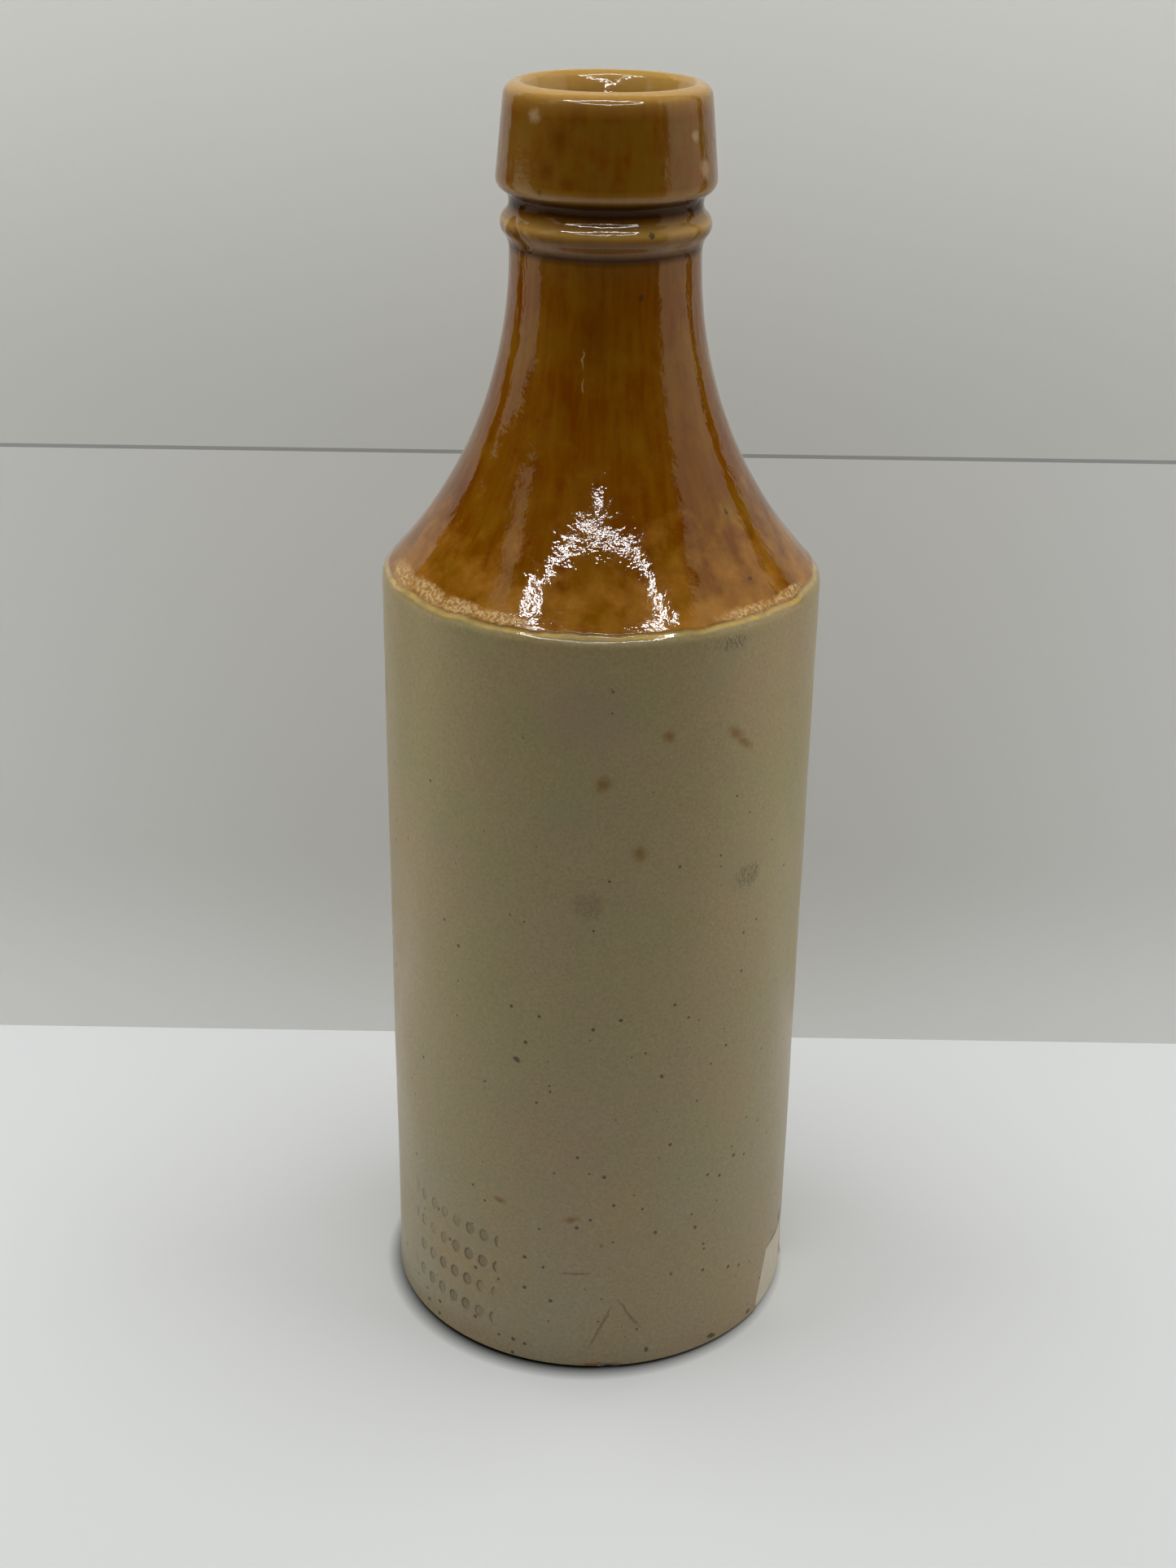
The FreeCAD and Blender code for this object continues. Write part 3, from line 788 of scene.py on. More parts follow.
# Bearing, height, half width, half height and lean of each mark
MARK_PLACES: dict[MarkKind, tuple[tuple[float, ...], ...]] = {
    MarkKind.IRON: (
        (-68.4, 189.6, 0.7, 0.7), (-65.6, 199.3, 0.7, 0.7), (-64.9, 212.5, 0.35, 0.35),
        (-125.2, 205.2, 0.3, 0.6), (-122.6, 170.5, 0.4, 0.4), (-38.9, 155.9, 0.55, 0.55),
        (-41.9, 146.6, 0.65, 0.65), (-78.2, 37.9, 0.5, 0.5), (-83.8, 35.7, 0.42, 0.42),
        (-104.3, 29.8, 0.45, 0.45), (-103.1, 21.7, 0.42, 0.42), (-59.8, 27.9, 0.65, 0.65),
        (-42.2, 14.2, 0.5, 0.5), (-66.9, 19.1, 0.5, 0.5), (-70.6, 15.3, 0.38, 0.38), (-73.5, 3.3, 0.7, 0.7),
        (-88.9, 3.4, 0.45, 0.45), (-71.6, 44.9, 0.35, 0.35), (-99.8, 42.2, 0.35, 0.35),
        (-105.3, 12.2, 0.35, 0.35), (-71.6, 61.5, 0.57, 0.57), (-52.5, 1.6, 1.3, 0.7),
        # The last mark of this kind is a small chip above the flake, drawn as a dark patch.
        (-36.9, 1.5, 0.8, 0.5), (-110.7, 64.2, 0.9, 0.9), (-15.2, 14.3, 1.2, 2.1),
    ),
    MarkKind.STAIN: (
        (-88.6, 117.1, 2.2, 2.0, 30.0), (-79.1, 104.5, 1.8, 2.4, 20.0), (-72.3, 124.9, 1.6, 1.6),
        (-53.2, 123.1, 3.0, 1.5, -38.0), (-50.2, 121.1, 3.4, 1.1, -38.0), (-115.9, 34.1, 2.0, 0.9, -15.0),
        (-95.2, 32.6, 2.2, 0.9, 8.0), (-86.8, 27.1, 0.75, 0.75), (-169.0, 121.0, 1.6, 3.2),
    ),
    MarkKind.RED_BROWN: (
        (-109.7, 206.9, 2.2, 1.8), (-115.9, 213.2, 2.6, 3.6), (-122.0, 208.5, 2.0, 2.4),
        # The mark at bearing -160, height 157 is a painted dark reflection.
        (-96.0, 184.0, 4.0, 9.0), (-160.0, 157.0, 6.0, 7.0, 30.0),
    ),
    MarkKind.RUST: (
        (-87.0, 0.6, 5.5, 1.0),
    ),
    MarkKind.BLUSH: (
        (-93.0, 128.0, 13.0, 9.0),
    ),
    MarkKind.ASH: (
        (-134.6, 101.9, 7.0, 5.0, 20.0), (-59.5, 134.0, 7.0, 5.0, 50.0), (-50.0, 99.0, 8.0, 6.0),
        (-98.0, 112.0, 8.0, 4.0),
    ),
    MarkKind.PEBBLE: (
        (-91.8, 95.0, 3.8, 3.2), (-54.6, 139.0, 4.5, 1.6), (-46.0, 96.0, 4.5, 3.0),
    ),
    MarkKind.SCUM: (
        # Pale raised grains just above the dip's edge. The four on the left also stand for a painted sheen
        # on the rounded edge of the shoulder.
        (-159.0, 143.3, 8.0, 1.9, -4.0), (-143.0, 143.3, 8.0, 1.7, -6.0), (-130.0, 143.0, 7.0, 1.4),
        (-118.0, 142.9, 8.0, 1.1), (-48.0, 142.8, 9.0, 1.0), (-30.0, 142.8, 8.0, 0.9),
    ),
    MarkKind.SCUFF: (
        (-132.0, 216.2, 1.9, 1.5), (-29.6, 208.1, 1.9, 2.2, 30.0), (-37.5, 213.2, 1.2, 1.4),
        (-101.4, 180.2, 0.25, 2.2, 4.0), (-100.6, 176.2, 0.22, 1.6, 4.0),
    ),
    MarkKind.CRACK: (
        (-86.8, 9.4, 0.36, 7.4, -24.0), (-79.0, 11.8, 0.36, 5.4, 32.0), (-94.2, 21.0, 3.6, 0.36, 4.0),
        # The two on the next line are dark sunk lines along the left and top edges of the flake.
        (-29.7, 4.9, 0.55, 5.4, -21.0), (-20.5, 12.6, 3.6, 0.55),
    ),
    MarkKind.RIDGE: (
        (-56.0, 38.3, 1.6, 0.3, 18.0), (-52.2, 39.3, 2.2, 0.3, 12.0), (-93.0, 22.4, 2.6, 0.3, -12.0),
        # This ridge above the flake is a raised line with a painted highlight along it.
        (-24.2, 20.2, 0.3, 5.2, -22.0),
    ),
}
MARKS = tuple(Mark(kind, *place) for kind, places in MARK_PLACES.items() for place in places)


@dataclass(frozen=True)
class DentBlock:
    """Rows of plain round dents, pressed into the clay and worn, which name nobody."""

    bearing: float = -134.0
    height: float = 17.0
    tilt: float = -4.0
    half_wide: float = 10.6
    half_tall: float = 11.6
    pitch: float = 3.1
    row: float = 5.8
    depth: float = 0.45
    dent_shade: str = "5A4E31"
    dent_shade_share: float = 0.5

    def sink(self, skin: Skin, section: Section, coat: Coat) -> None:
        """Sink the dents into a coat and darken them with painted shade.

        Args:
            skin: Places that the patterns read.
            section: Section of the bottle, which gives the block its place on the skin.
            coat: Coat that is changed.
        """
        tree = skin.tree
        centre = around(self.bearing, section.radius_at(self.height), self.height)
        local = add_node(tree, "Mapping", {
            "Vector": skin.place, "Location": centre,
            "Rotation": (math.radians(self.tilt), 0.0, math.radians(self.bearing))}, vector_type="TEXTURE")
        cell = add_node(tree, "VectorMath", {0: local, 1: (100.0, self.pitch, self.row)}, operation="SNAP")
        away = add_node(tree, "VectorMath", {0: local, 1: cell}, operation="SUBTRACT")
        away = add_node(tree, "VectorMath", {
            0: away, 1: (0.0, 1.0, 0.75), 2: (0.0, -self.pitch / 2, -0.375 * self.row)},
            operation="MULTIPLY_ADD")
        reach = add_node(tree, "VectorMath", {0: away}, operation="LENGTH")
        worn = add_node(tree, "TexNoise", {"Vector": skin.place, "Scale": 0.12, "Detail": 2.0})
        worn = add_node(tree, "MapRange", {
            "Value": worn, "From Min": 0.35, "From Max": 0.6, "To Min": 0.35, "To Max": 1.0})
        dent = add_node(tree, "MapRange", {
            "Value": reach, "From Min": 0.6, "From Max": 1.1, "To Min": worn, "To Max": 0.0},
            interpolation_type="SMOOTHSTEP")
        block = add_node(tree, "VectorMath", {
            0: local, 1: (0.05, 1 / self.half_wide, 1 / self.half_tall)}, operation="MULTIPLY")
        block = add_node(tree, "VectorMath", {0: block}, operation="ABSOLUTE")
        sides = add_node(tree, "SeparateXYZ", {0: block})
        block = add_node(tree, "Math", {0: sides.node.outputs["Y"], 1: sides.node.outputs["Z"]},
                         operation="MAXIMUM")
        block = add_node(tree, "Math", {0: block, 1: sides.node.outputs["X"]}, operation="MAXIMUM")
        inside = add_node(tree, "Math", {0: block, 1: 1.0}, operation="LESS_THAN")
        dent = add_node(tree, "Math", {0: dent, 1: inside}, operation="MULTIPLY")
        # Painted shade: the dents are darkened beyond what their relief gives.
        share = add_node(tree, "Math", {0: dent, 1: self.dent_shade_share}, operation="MULTIPLY")
        coat.colour = add_node(tree, "Mix", {
            "Factor": share, "A": coat.colour, "B": self.dent_shade}, data_type="RGBA")
        coat.relief = add_node(tree, "Math", {0: dent, 1: -self.depth, 2: coat.relief},
                               operation="MULTIPLY_ADD")


class Zone(Enum):
    """Stretch of the bottle with a finish of its own: its name and its heights in millimetres."""

    BODY = ("buff_salt_glaze_on_stoneware", 0.0, 137.0)
    DIPPED = ("amber_lead_glaze_dipped_over_buff", 137.0, 221.0)


@dataclass(frozen=True)
class GlazedStoneware:
    """Stoneware in its glazes, with what the kiln and the years left on it."""

    buff: BuffSaltGlaze = BuffSaltGlaze()
    amber: AmberLeadGlaze = AmberLeadGlaze()
    dents: DentBlock = DentBlock()

    def build(self, zone: Zone, section: Section) -> bpy.types.Material:
        """Make the finish of one stretch of the bottle.

        Args:
            zone: Stretch that the finish is for.
            section: Section of the bottle, which gives the marks their place on the skin.

        Returns:
            The finished material.
        """
        name, low, high = zone.value
        material = new_material(name)
        skin = Skin(material.node_tree)
        coat = self.buff.coat(skin)
        if zone is Zone.DIPPED:
            coat = self.amber.dip_over(skin, coat)
        else:
            self.dents.sink(skin, section, coat)
        self.lay_marks(skin, section, coat, [
            mark for mark in MARKS if mark.height + mark.tall > low and mark.height - mark.tall < high])
        if zone is Zone.BODY:
            self.buff.wipe_foot(skin, coat)
        bump = add_node(skin.tree, "Bump", {"Height": coat.relief, "Distance": MM, "Strength": 1.0})
        shader = add_node(skin.tree, "BsdfPrincipled", {
            "Base Color": coat.colour, "Roughness": coat.rough, "IOR": 1.5,
            "Specular IOR Level": coat.gloss, "Normal": bump})
        add_node(skin.tree, "OutputMaterial", {"Surface": shader})
        return material

    def lay_marks(self, skin: Skin, section: Section, coat: Coat, marks: list[Mark]) -> None:
        """Lay the marks of one kind after another over a coat.

        Args:
            skin: Places that the patterns read.
            section: Section of the bottle, which gives the marks their place on the skin.
            coat: Coat that takes the marks.
            marks: Marks within the coat's stretch of the bottle.
        """
        tree = skin.tree
        noise = add_node(tree, "TexNoise", {
            "Vector": skin.place, "Scale": 0.9, "Detail": 3.0}).node.outputs["Color"]
        shift = add_node(tree, "VectorMath", {0: noise, 1: (0.5, 0.5, 0.5)}, operation="SUBTRACT")
        ragged = add_node(tree, "VectorMath", {0: shift, 1: (1.1, 1.1, 1.1), 2: skin.place},
                          operation="MULTIPLY_ADD")
        lumps = add_node(tree, "TexNoise", {"Vector": skin.place, "Scale": 1.5, "Detail": 2.0})
        grit = add_node(tree, "MapRange", {
            "Value": lumps, "From Min": 0.42, "From Max": 0.58, "To Min": 0.3})
        for kind in MarkKind:
            shade, strength, full, matt, lift = kind.value
            nearest = None
            for mark in (mark for mark in marks if mark.kind is kind):
                reach = mark.reach(skin, section, ragged)
                nearest = reach if nearest is None else add_node(
                    tree, "Math", {0: nearest, 1: reach}, operation="MINIMUM")
            if nearest is None:
                continue
            share = add_node(tree, "MapRange", {
                "Value": nearest, "From Min": full, "From Max": 1.0, "To Min": strength, "To Max": 0.0},
                interpolation_type="SMOOTHSTEP")
            if lift > 0:
                share = add_node(tree, "Math", {0: share, 1: grit}, operation="MULTIPLY")
            coat.colour = add_node(tree, "Mix", {
                "Factor": share, "A": coat.colour, "B": shade}, data_type="RGBA")
            coat.rough = add_node(tree, "Mix", {"Factor": share, "A": coat.rough, "B": matt})
            if lift:
                coat.relief = add_node(tree, "Math", {
                    0: share, 1: lift / strength, 2: coat.relief}, operation="MULTIPLY_ADD")


@dataclass(frozen=True)
class BrokenStoneware:
    """Fresh break in fired stoneware: matt, close grained, paler than the glaze round it."""

    # The eye gets a dry, pale, rough patch with no highlight, set against the satin glaze.

    pale: str = "D2C8B2"
    dark: str = "B4AA94"
    grain_size: float = 0.8
    roughness: float = 0.55

    def build(self) -> bpy.types.Material:
        """Make the material.

        Returns:
            The finished material.
        """
        material = new_material("broken_stoneware")
        tree = material.node_tree
        place = add_node(tree, "TexCoord").node.outputs["Object"]
        grain = add_node(tree, "TexNoise", {
            "Vector": place, "Scale": 1 / (self.grain_size * MM), "Detail": 4.0, "Roughness": 0.7})
        colour = add_node(tree, "Mix", {"Factor": grain, "A": self.dark, "B": self.pale}, data_type="RGBA")
        bump = add_node(tree, "Bump", {"Height": grain, "Distance": 0.06 * MM, "Strength": 1.0})
        shader = add_node(tree, "BsdfPrincipled", {
            "Base Color": colour, "Roughness": self.roughness, "Normal": bump})
        add_node(tree, "OutputMaterial", {"Surface": shader})
        return material


# The bottle

@dataclass
class Bottle:
    """The thrown bottle: its turned mesh, the places where it was pressed or chipped, and its dress."""

    form: BottleForm
    section: Section
    glazes: dict[Zone, bpy.types.Material]
    broken: bpy.types.Material
    steps: int = 288
    wall_waves: tuple[tuple[str, float, float], ...] = (
        ("thrown_wall", 34.0, 0.28), ("fingered_wall", 9.0, 0.07))
    kept_foot: float = 1.5
    seam_start: tuple[float, float] = (-151.8, 199.6)
    seam_end: tuple[float, float] = (-141.5, 196.2)
    seam_presses: int = 7
    seam_depth: float = 0.42
    seam_reach: float = 1.3
    seam_swells: tuple[tuple[float, float, float, float], ...] = (
        (-156.8, 197.8, -0.22, 2.0), (-136.0, 199.3, -0.18, 1.6))
    crease_angle: float = 34.0
    flake_width: float = 3.0
    flake_tall: float = 14.3
    flake_thin: float = 0.42
    flake_lean: float = 18.0
    flake_start: float = -30.5
    flake_turn: float = 29.0
    flake_drop: float = 2.0
    flake_steps: int = 24
    flake_grid: float = 0.35
    flake_waves: tuple[tuple[str, float, float], ...] = (
        ("flake_shape", 7.0, 0.35), ("flake_grain", 1.6, 0.12))
    nick_half_size: tuple[float, float, float] = (0.8, 2.4, 1.2)
    nick_bearing: float = -84.3
    nick_waves: tuple[str, float, float] = ("nick_shape", 1.2, 0.6)

    def build(self) -> bpy.types.Object:
        """Turn, press, chip and dress the bottle, and tie it to the frame.

        Returns:
            The finished piece.
        """
        piece = self.turn_section()
        self.roughen(piece)
        self.press_seam(piece)
        self.glaze(piece)
        self.chip(piece)
        self.dress(piece)
        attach(piece, BODY)
        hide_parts(NODE)
        return piece

    def turn_section(self) -> bpy.types.Object:
        """Draw the half section as a chain of edges and spin it round the axis.

        Returns:
            The closed mesh of the bottle.
        """
        deselect_all()
        bpy.ops.mesh.primitive_plane_add(size=2 * MM)
        piece = bpy.context.object
        piece.name = "stoneware_bottle"
        bpy.ops.object.mode_set(mode="EDIT")
        bpy.ops.mesh.select_mode(type="VERT")
        bpy.ops.mesh.select_all(action="SELECT")
        bpy.ops.mesh.merge(type="CENTER")
        here = Vector((0.0, 0.0))
        for number, point in enumerate(self.section.points):
            step = (point - here) * MM
            if number == 0:
                bpy.ops.transform.translate(value=(step.x, 0.0, step.y))
            else:
                bpy.ops.mesh.extrude_region_move(TRANSFORM_OT_translate={"value": (step.x, 0.0, step.y)})
            here = point
        bpy.ops.mesh.select_all(action="SELECT")
        spin_closed(self.steps, 2 * math.pi)
        return piece

    def roughen(self, piece: bpy.types.Object) -> None:
        """Give the outside the slight unevenness of a thrown wall, always inwards of the true turn.

        Args:
            piece: Mesh of the bottle.
        """
        outside = piece.vertex_groups.new(name="outside")
        cavity = self.form.body_diameter / 2 - self.form.wall
        places = [v.index for v in piece.data.vertices
                  if v.co.z > self.kept_foot * MM and not self.is_inside(v.co, cavity)]
        outside.add(places, 1.0, "REPLACE")
        for name, grain, depth in self.wall_waves:
            add_roughness(piece, name, grain, depth, 1.0, outside.name)
        apply_modifiers(piece)
        piece.vertex_groups.clear()

    def is_inside(self, place: Vector, cavity: float) -> bool:
        """Tell whether a vertex belongs to the cavity, the bore or the sloping mouth.

        Args:
            place: Place of the vertex in metres.
            cavity: Radius of the cavity in millimetres.

        Returns:
            True on the inside.
        """
        radius = math.hypot(place.x, place.y) / MM
        height = place.z / MM
        return radius < self.section.radius_at(height) - 2.0 or (radius <= cavity and height < 20.0)

    def press_seam(self, piece: bpy.types.Object) -> None:
        """Press the slanting crease where the ends of the bead overlap.

        Args:
            piece: Mesh of the bottle.
        """
        make_active(piece)
        bpy.ops.object.mode_set(mode="EDIT")
        bpy.ops.mesh.select_mode(type="VERT")
        for number in range(self.seam_presses):
            share = number / (self.seam_presses - 1)
            bearing = self.seam_start[0] + share * (self.seam_end[0] - self.seam_start[0])
            height = self.seam_start[1] + share * (self.seam_end[1] - self.seam_start[1])
            self.press(piece, bearing, height, self.seam_depth, self.seam_reach)
        for bearing, height, depth, reach in self.seam_swells:
            self.press(piece, bearing, height, depth, reach)
        bpy.ops.object.mode_set(mode="OBJECT")

    def press(self, piece: bpy.types.Object, bearing: float, height: float, depth: float,
              reach: float) -> None:
        """Push the skin in at one point, with a soft fall-off round it.

        Args:
            piece: Mesh in edit mode.
            bearing: Bearing of the point in degrees.
            height: Height of the point in millimetres.
            depth: How far it goes in, or out where it is negative.
            reach: Size of the area that follows, in millimetres.
        """
        target = around(bearing, self.section.radius_at(height), height) * MM
        bpy.ops.mesh.select_all(action="DESELECT")
        bpy.ops.object.mode_set(mode="OBJECT")
        nearest = min(piece.data.vertices, key=lambda vertex: (vertex.co - target).length_squared)
        nearest.select = True
        bpy.ops.object.mode_set(mode="EDIT")
        inward = -around(bearing, depth, 0.0) * MM
        bpy.ops.transform.translate(value=inward, use_proportional_edit=True,
                                    proportional_edit_falloff="SMOOTH", proportional_size=reach * MM)

    def glaze(self, piece: bpy.types.Object) -> None:
        """Give each face the finish of the stretch it lies in.

        Args:
            piece: Mesh of the bottle.
        """
        for zone, glaze in self.glazes.items():
            piece.data.materials.append(glaze)
            slot = len(piece.data.materials) - 1
            low, high = zone.value[1:]
            for face in piece.data.polygons:
                if low * MM <= face.center.z < high * MM:
                    face.material_index = slot

    def chip(self, piece: bpy.types.Object) -> None:
        """Knock the flake off the heel and the nick out of the foot.

        Args:
            piece: Mesh of the bottle.
        """
        for cutter in (self.flake_cutter(), self.nick_cutter()):
            cutter.data.materials.append(self.broken)
            cut = piece.modifiers.new(cutter.name, "BOOLEAN")
            cut.operation = "DIFFERENCE"
            cut.solver = "MANIFOLD"
            cut.object = cutter
            cut.material_mode = "TRANSFER"
            apply_modifiers(piece)
            bpy.data.objects.remove(cutter)

    def flake_cutter(self) -> bpy.types.Object:
        """Make the cutter of the flake: part of a turn of a thin ring with a broken skin.

        Returns:
            The cutter, where it cuts.
        """
        body = self.form.body_diameter / 2
        deselect_all()
        bpy.ops.mesh.primitive_plane_add(size=1 * MM, rotation=(math.pi / 2, 0.0, 0.0))
        cutter = bpy.context.object
        cutter.name = "heel_flake"
        bpy.ops.object.transform_apply(location=False, rotation=True, scale=False)
        width, tall, thin = self.flake_width, self.flake_tall, self.flake_thin
        bpy.ops.object.mode_set(mode="EDIT")
        bpy.ops.mesh.select_all(action="SELECT")
        bpy.ops.transform.resize(value=(width, 1.0, tall))
        turn_about("X", self.flake_lean)
        bpy.ops.transform.translate(
            value=((body - thin + width / 2) * MM, 0.0, (tall / 2 - self.flake_drop) * MM))
        turn_about("Z", -self.flake_start)
        spin_closed(self.flake_steps, -math.radians(self.flake_turn))
        grid = cutter.modifiers.new("fine_grid", "REMESH")
        grid.mode = "VOXEL"
        grid.voxel_size = self.flake_grid * MM
        for name, grain, depth in self.flake_waves:
            add_roughness(cutter, name, grain, depth)
        apply_modifiers(cutter)
        return cutter

    def nick_cutter(self) -> bpy.types.Object:
        """Make the cutter of the small nick in the front of the foot.

        Returns:
            The cutter, where it cuts.
        """
        deselect_all()
        bpy.ops.mesh.primitive_ico_sphere_add(subdivisions=4, radius=1.0 * MM)
        cutter = bpy.context.object
        cutter.name = "foot_nick"
        bpy.ops.object.mode_set(mode="EDIT")
        bpy.ops.mesh.select_all(action="SELECT")
        bpy.ops.transform.resize(value=self.nick_half_size)
        bpy.ops.transform.translate(value=(self.form.body_diameter / 2 * MM, 0.0, 0.0))
        turn_about("Z", -self.nick_bearing)
        bpy.ops.object.mode_set(mode="OBJECT")
        add_roughness(cutter, *self.nick_waves)
        apply_modifiers(cutter)
        return cutter

    def dress(self, piece: bpy.types.Object) -> None:
        """Smooth the skin and keep the true edges."""
        make_active(piece)
        bpy.ops.object.shade_smooth_by_angle(angle=math.radians(self.crease_angle))


# The set

@dataclass(frozen=True)
class Paper:
    """White cartridge paper, uncoated and matt, so it has no gloss of its own."""

    # The eye gets a plain pale ground that takes a soft shadow and shows no sheen.

    name: str
    colour: str
    seen_from_behind: bool = True
    glow: float = 0.0
    fades: bool = False
    painted_shading_colour: str = ""
    foot: float = 0.0
    full: float = 1.0
    painted_shadow_radius: float = 0.0
    painted_shadow_reach: float = 3.8
    painted_shadow_middle: tuple[float, float] = (-1.0, -1.8)
    painted_shadow_colour: str = "2A2A26"
    fade_from: float = 400.0
    fade_to: float = 600.0

    def build(self) -> bpy.types.Material:
        """Make the material. A sheet that isn't seen from behind lets the camera look through its back.

        Returns:
            The finished material.
        """
        material = new_material(self.name)
        tree = material.node_tree
        colour = self.colour
        place = add_node(tree, "TexCoord").node.outputs["Object"]
        # Painted shading: below a height the colour drifts to another one.
        if self.painted_shading_colour:
            height = add_node(tree, "SeparateXYZ", {0: place}).node.outputs["Z"]
            share = add_node(tree, "MapRange", {
                "Value": height, "From Min": self.foot * MM, "From Max": self.full * MM},
                interpolation_type="SMOOTHSTEP")
            colour = add_node(tree, "Mix", {
                "Factor": share, "A": self.painted_shading_colour, "B": colour}, data_type="RGBA")
        if self.painted_shadow_radius:
            # Painted contact shadow: the paper is darkened round the foot, most of all at the front left.
            middle = [value * MM for value in (*self.painted_shadow_middle, 0.0)]
            reach = add_node(tree, "VectorMath", {0: place, 1: middle}, operation="DISTANCE")
            share = add_node(tree, "MapRange", {
                "Value": reach, "From Min": self.painted_shadow_radius * MM,
                "From Max": (self.painted_shadow_radius + self.painted_shadow_reach) * MM})
            colour = add_node(tree, "Mix", {
                "Factor": share, "A": self.painted_shadow_colour, "B": colour}, data_type="RGBA")
        if self.glow:
            shader = add_node(tree, "Emission", {"Color": colour, "Strength": self.glow})
        else:
            shader = add_node(tree, "BsdfDiffuse", {"Color": colour})
        surface = shader
        if not self.seen_from_behind:
            back = add_node(tree, "NewGeometry").node.outputs["Backfacing"]
            clear = add_node(tree, "BsdfTransparent")
            surface = add_node(tree, "MixShader", {0: back, 1: shader, 2: clear})
        if self.fades:
            reach = add_node(tree, "VectorMath", {0: place}, operation="LENGTH")
            far = add_node(tree, "MapRange", {
                "Value": reach, "From Min": self.fade_from * MM, "From Max": self.fade_to * MM})
            clear = add_node(tree, "BsdfTransparent")
            surface = add_node(tree, "MixShader", {0: far, 1: surface, 2: clear})
        add_node(tree, "OutputMaterial", {"Surface": surface})
        return material


@dataclass(frozen=True)
class Lamp:
    """A flat lamp with its middle, its two sizes in millimetres and the way it faces in degrees."""

    name: str
    centre: tuple[float, float, float]
    width: float
    depth: float
    brightness: float
    turn: tuple[float, float, float] = (0.0, 0.0, 0.0)
    in_gloss: bool = True
    on_matt: bool = True

    def hang(self) -> None:
        """Hang the lamp. Its brightness is that of a white surface under plain light."""
        deselect_all()
        bpy.ops.object.light_add(type="AREA", location=Vector(self.centre) * MM,
                                 rotation=[math.radians(angle) for angle in self.turn])
        lamp = bpy.context.object
        lamp.name = self.name
        lamp.data.shape = "RECTANGLE"
        lamp.data.size = self.width * MM
        lamp.data.size_y = self.depth * MM
        lamp.data.energy = math.pi * self.width * self.depth * MM**2 * self.brightness
        lamp.visible_camera = False
        lamp.visible_glossy = self.in_gloss
        lamp.visible_diffuse = self.on_matt


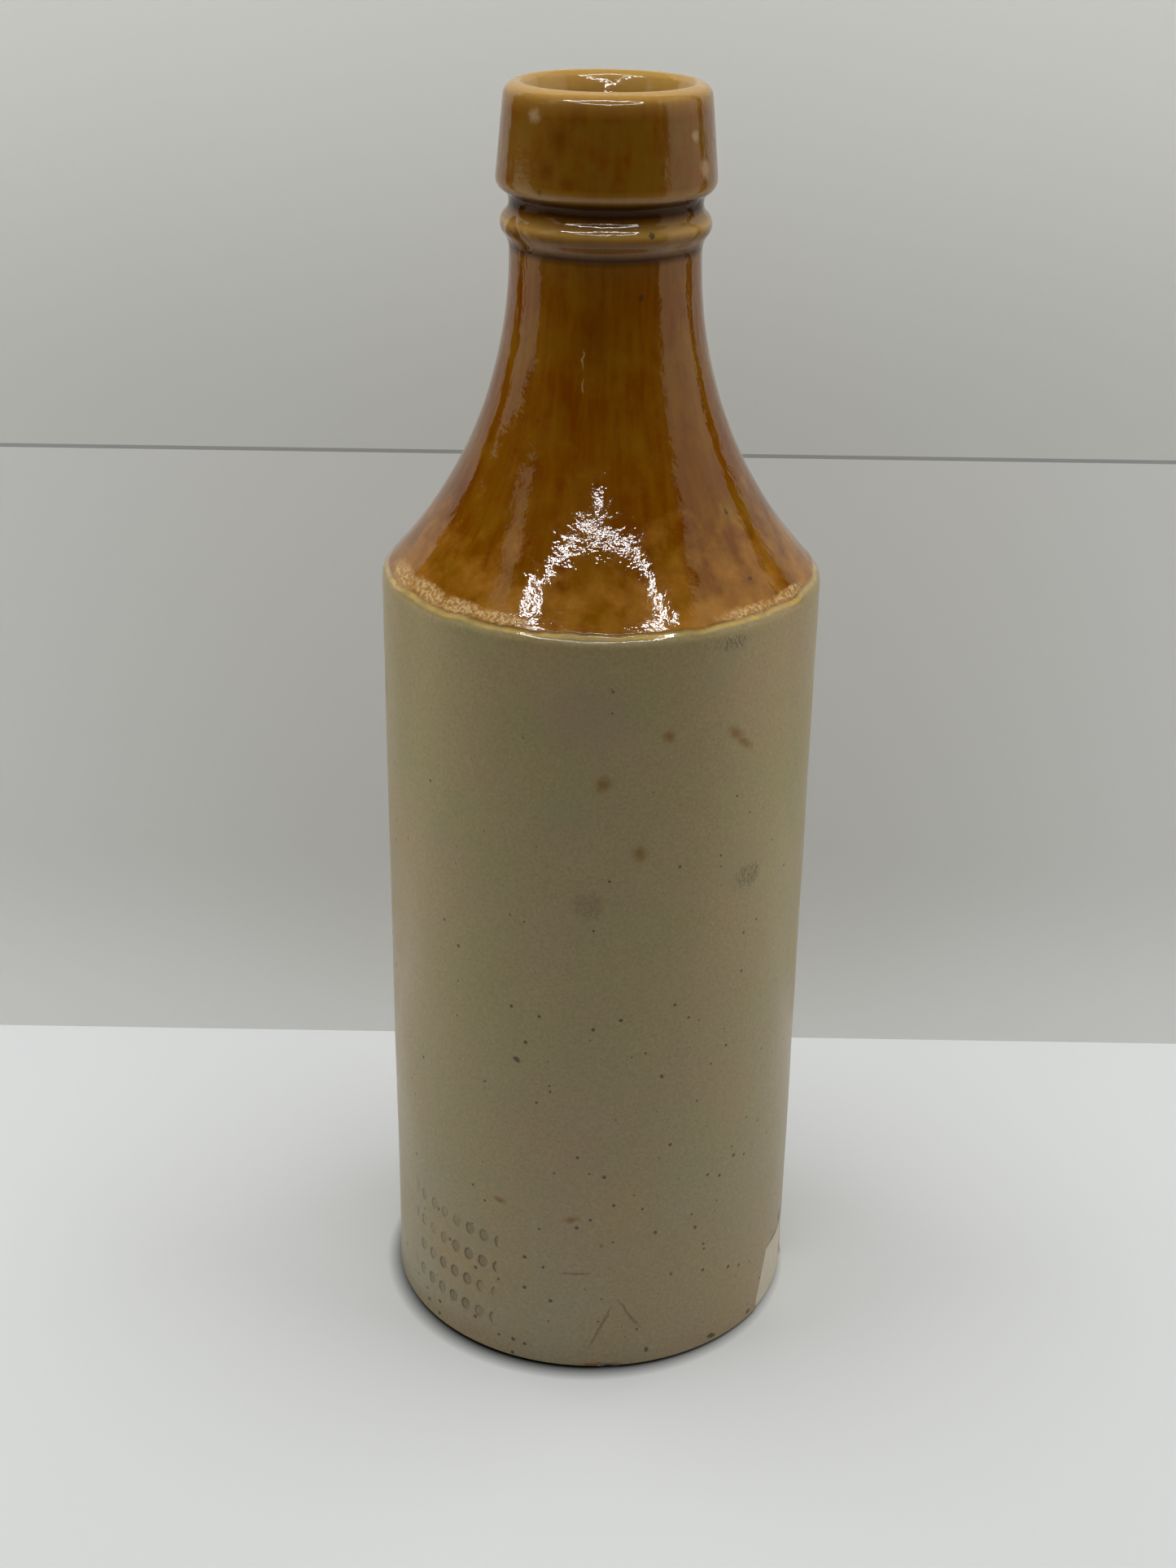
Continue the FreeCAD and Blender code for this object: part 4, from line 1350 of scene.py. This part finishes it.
@dataclass
class PaperTent:
    """Floor, two back sheets, glowing sides, lamps, a dark sphere for the room round them and the camera.
    """

    lamp_height: float = 450.0
    tube_width: float = 8.0
    tube_brightness: float = 60.0
    ring: tuple[tuple[float, float], ...] = (
        (-210.0, -150.0), (-184.0, -262.0), (-63.0, -346.0),
        (91.0, -322.0), (167.0, -250.0), (172.0, -150.0))
    back_sheet: float = 78.0
    back_width: float = 290.0
    join_height: float = 137.6
    join_lap: float = 8.0
    side_sheet: float = 205.0
    room_radius: float = 1500.0
    camera_distance: float = 350.2
    camera_height: float = 263.4
    pitch_down: float = 25.03
    yaw_left: float = 0.273
    roll: float = 0.776
    focal_pixels: float = 2672.0
    picture_height: float = 1927.0
    film: float = 36.0

    def build(self) -> None:
        """Set up everything that the bottle stands in."""
        self.lay_paper()
        self.stand_sides()
        self.hang_lamps()
        self.set_room()
        self.set_camera()

    def sheet(self, name: str, width: float, depth: float, place: Vector, turn: tuple[float, float, float],
              paper: bpy.types.Material) -> bpy.types.Object:
        """Add a flat sheet of paper to the set. Sizes are millimetres, the turn is in degrees.

        Args:
            name: Name of the sheet.
            width: First size.
            depth: Second size.
            place: Middle of the sheet.
            turn: Turn about X, Y and Z.
            paper: Material of the sheet.

        Returns:
            The sheet, with its place in its mesh.
        """
        deselect_all()
        bpy.ops.mesh.primitive_plane_add(size=1.0, location=place * MM,
                                         rotation=[math.radians(angle) for angle in turn])
        sheet = bpy.context.object
        sheet.name = name
        sheet.scale = (width * MM, depth * MM, 1.0)
        bpy.ops.object.transform_apply(location=True, rotation=True, scale=True)
        sheet.data.materials.append(paper)
        return sheet

    def lay_paper(self) -> None:
        """Lay the floor, hang the two back sheets and the strip of painted shadow at their join."""
        # The floor paper carries a painted contact shadow round the foot.
        floor_paper = Paper("floor_paper", "E2E4E3", fades=True, painted_shadow_radius=34.8).build()
        self.sheet("floor", 1400.0, 1400.0, Vector((0.0, 0.0, 0.0)), (0.0, 0.0, 0.0), floor_paper)
        tall = self.join_height
        lap = tall - self.join_lap
        # The upper sheet is a lighter grey than the lower one as painted light. The lower one lightens
        # towards the floor and the upper one darkens at its foot, both as painted shading.
        lower = Paper("lower_back_paper", "D0D0CD", False, painted_shading_colour="E4E4E2", full=50.0).build()
        upper = Paper("upper_back_paper", "DCDDD8", False, painted_shading_colour="C8C9C4", foot=tall,
                      full=tall + 95.0).build()
        # A thin grey strip at the join of the two sheets is a painted shadow line.
        edge = Paper("painted_join_shadow_paper", "9C9C9A", False).build()
        for name, paper, height, middle, behind in (
                ("back_sheet_low", lower, tall, tall / 2, 0.0),
                ("back_sheet_painted_join_shadow", edge, 0.8, tall, -0.5),
                ("back_sheet_high", upper, 500.0, lap + 250.0, 2.0)):
            place = Vector((0.0, self.back_sheet + behind, middle))
            sheet = self.sheet(name, self.back_width, height, place, (90.0, 0.0, 0.0), paper)
            hide_from(sheet, "shadow", "diffuse")

    def stand_sides(self) -> None:
        """Stand the glowing sides of the tent, sheets that give off light of their own as a painted
        reflection of lit paper, which only the gloss of the glaze shows.
        """
        # Painted reflection: these sheets glow though they are no lamps.
        glowing_paper = Paper("glowing_side_paper", "EADFCB", glow=0.85).build()
        for name, side, front, back, low, high in (
                ("left_low", -1, -40.0, 62.0, 0.0, 199.0),
                ("left_high", -1, -112.0, -70.0, 245.0, 440.0),
                ("right", 1, -102.0, 78.0, 0.0, 440.0)):
            place = Vector((side * self.side_sheet, (front + back) / 2, (low + high) / 2))
            panel = self.sheet(f"side_sheet_{name}", back - front, high - low, place,
                               (90.0, 0.0, -90.0 * side), glowing_paper)
            hide_from(panel, "camera", "diffuse", "shadow")

    def hang_lamps(self) -> None:
        """Hang the ring of thin tubes above the front, a small lamp before it and the soft fill."""
        top = self.lamp_height
        side = self.side_sheet + 5.0
        for number, (start, end) in enumerate(zip(self.ring, self.ring[1:] + self.ring[:1])):
            run = Vector(end) - Vector(start)
            middle = (Vector(start) + Vector(end)) / 2
            turn = math.degrees(math.atan2(run.y, run.x))
            Lamp(f"tube_{number}", (middle.x, middle.y, top), run.length, self.tube_width,
                 self.tube_brightness, (0.0, 0.0, turn), on_matt=False).hang()
        for lamp in (
                Lamp("small_lamp", (-6.0, -409.0, top), 60.0, 24.0, 40.0, on_matt=False),
                Lamp("front_fill", (-20.0, -255.0, top), 380.0, 190.0, 1.7, (-20.0, 0.0, 0.0), False),
                Lamp("side_left", (-side, 20.0, 210.0), 400.0, 330.0, 0.95, (0.0, -90.0, 0.0), False),
                Lamp("side_right", (side, 20.0, 210.0), 400.0, 330.0, 0.95, (0.0, 90.0, 0.0), False),
                Lamp("tent_top", (0.0, 10.0, top + 10.0), 400.0, 240.0, 3.8, in_gloss=False)):
            lamp.hang()

    def set_room(self) -> None:
        """Light the surroundings: pale to the camera, a low fill on the set, dark in the gloss."""
        world = bpy.data.worlds.new("studio")
        bpy.context.scene.world = world
        world.use_nodes = True
        tree = world.node_tree
        tree.nodes.clear()
        path = add_node(tree, "LightPath").node
        seen = add_node(tree, "Math", {
            0: path.outputs["Is Camera Ray"], 1: path.outputs["Is Glossy Ray"]}, operation="MAXIMUM")
        seen = add_node(tree, "Math", {
            0: seen, 1: path.outputs["Is Transmission Ray"]}, operation="MAXIMUM")
        strength = add_node(tree, "MapRange", {"Value": seen, "To Min": 0.1, "To Max": 0.6})
        light = add_node(tree, "Background", {"Color": "FFFFFF", "Strength": strength})
        add_node(tree, "OutputWorld", {"Surface": light})
        # A dark sphere round the set, seen only in the gloss, is a painted dark reflection of the unlit
        # room.
        deselect_all()
        bpy.ops.mesh.primitive_uv_sphere_add(segments=48, ring_count=24, radius=self.room_radius * MM)
        room = bpy.context.object
        room.name = "dark_room"
        room.data.materials.append(Paper("dark_room_reflection", "1C1C1C").build())
        hide_from(room, "camera", "diffuse", "shadow", "transmission")

    def set_camera(self) -> None:
        """Stand the camera where the photographer held it, with the same tilt and field of view."""
        pitch, yaw, roll = (math.radians(v) for v in (self.pitch_down, -self.yaw_left, self.roll))
        ahead = Vector((math.sin(yaw) * math.cos(pitch), math.cos(yaw) * math.cos(pitch), -math.sin(pitch)))
        level = Vector((math.cos(yaw), -math.sin(yaw), 0.0))
        above = level.cross(ahead)
        right = math.cos(roll) * level + math.sin(roll) * above
        up = math.cos(roll) * above - math.sin(roll) * level
        turn = Matrix((right, up, -ahead)).transposed()
        deselect_all()
        bpy.ops.object.camera_add()
        camera = bpy.context.object
        camera.matrix_world = Matrix.Translation(
            Vector((0.0, -self.camera_distance, self.camera_height)) * MM) @ turn.to_4x4()
        camera.data.sensor_width = self.film
        camera.data.lens = self.focal_pixels * self.film / self.picture_height
        camera.data.clip_start = 0.01
        bpy.context.scene.camera = camera


def main() -> None:
    """Build the bottle and the set round it."""
    logging.basicConfig(level=logging.INFO, format="%(name)s: %(message)s")
    form = BottleForm.from_frame()
    section = Section(form, Pitch())
    finish = GlazedStoneware()
    glazes = {zone: finish.build(zone, section) for zone in Zone}
    piece = Bottle(form, section, glazes, BrokenStoneware().build()).build()
    log.info("%s: %d faces", piece.name, len(piece.data.polygons))
    PaperTent().build()
    bpy.context.scene.view_settings.view_transform = "Standard"


if __name__ == "__main__":
    main()
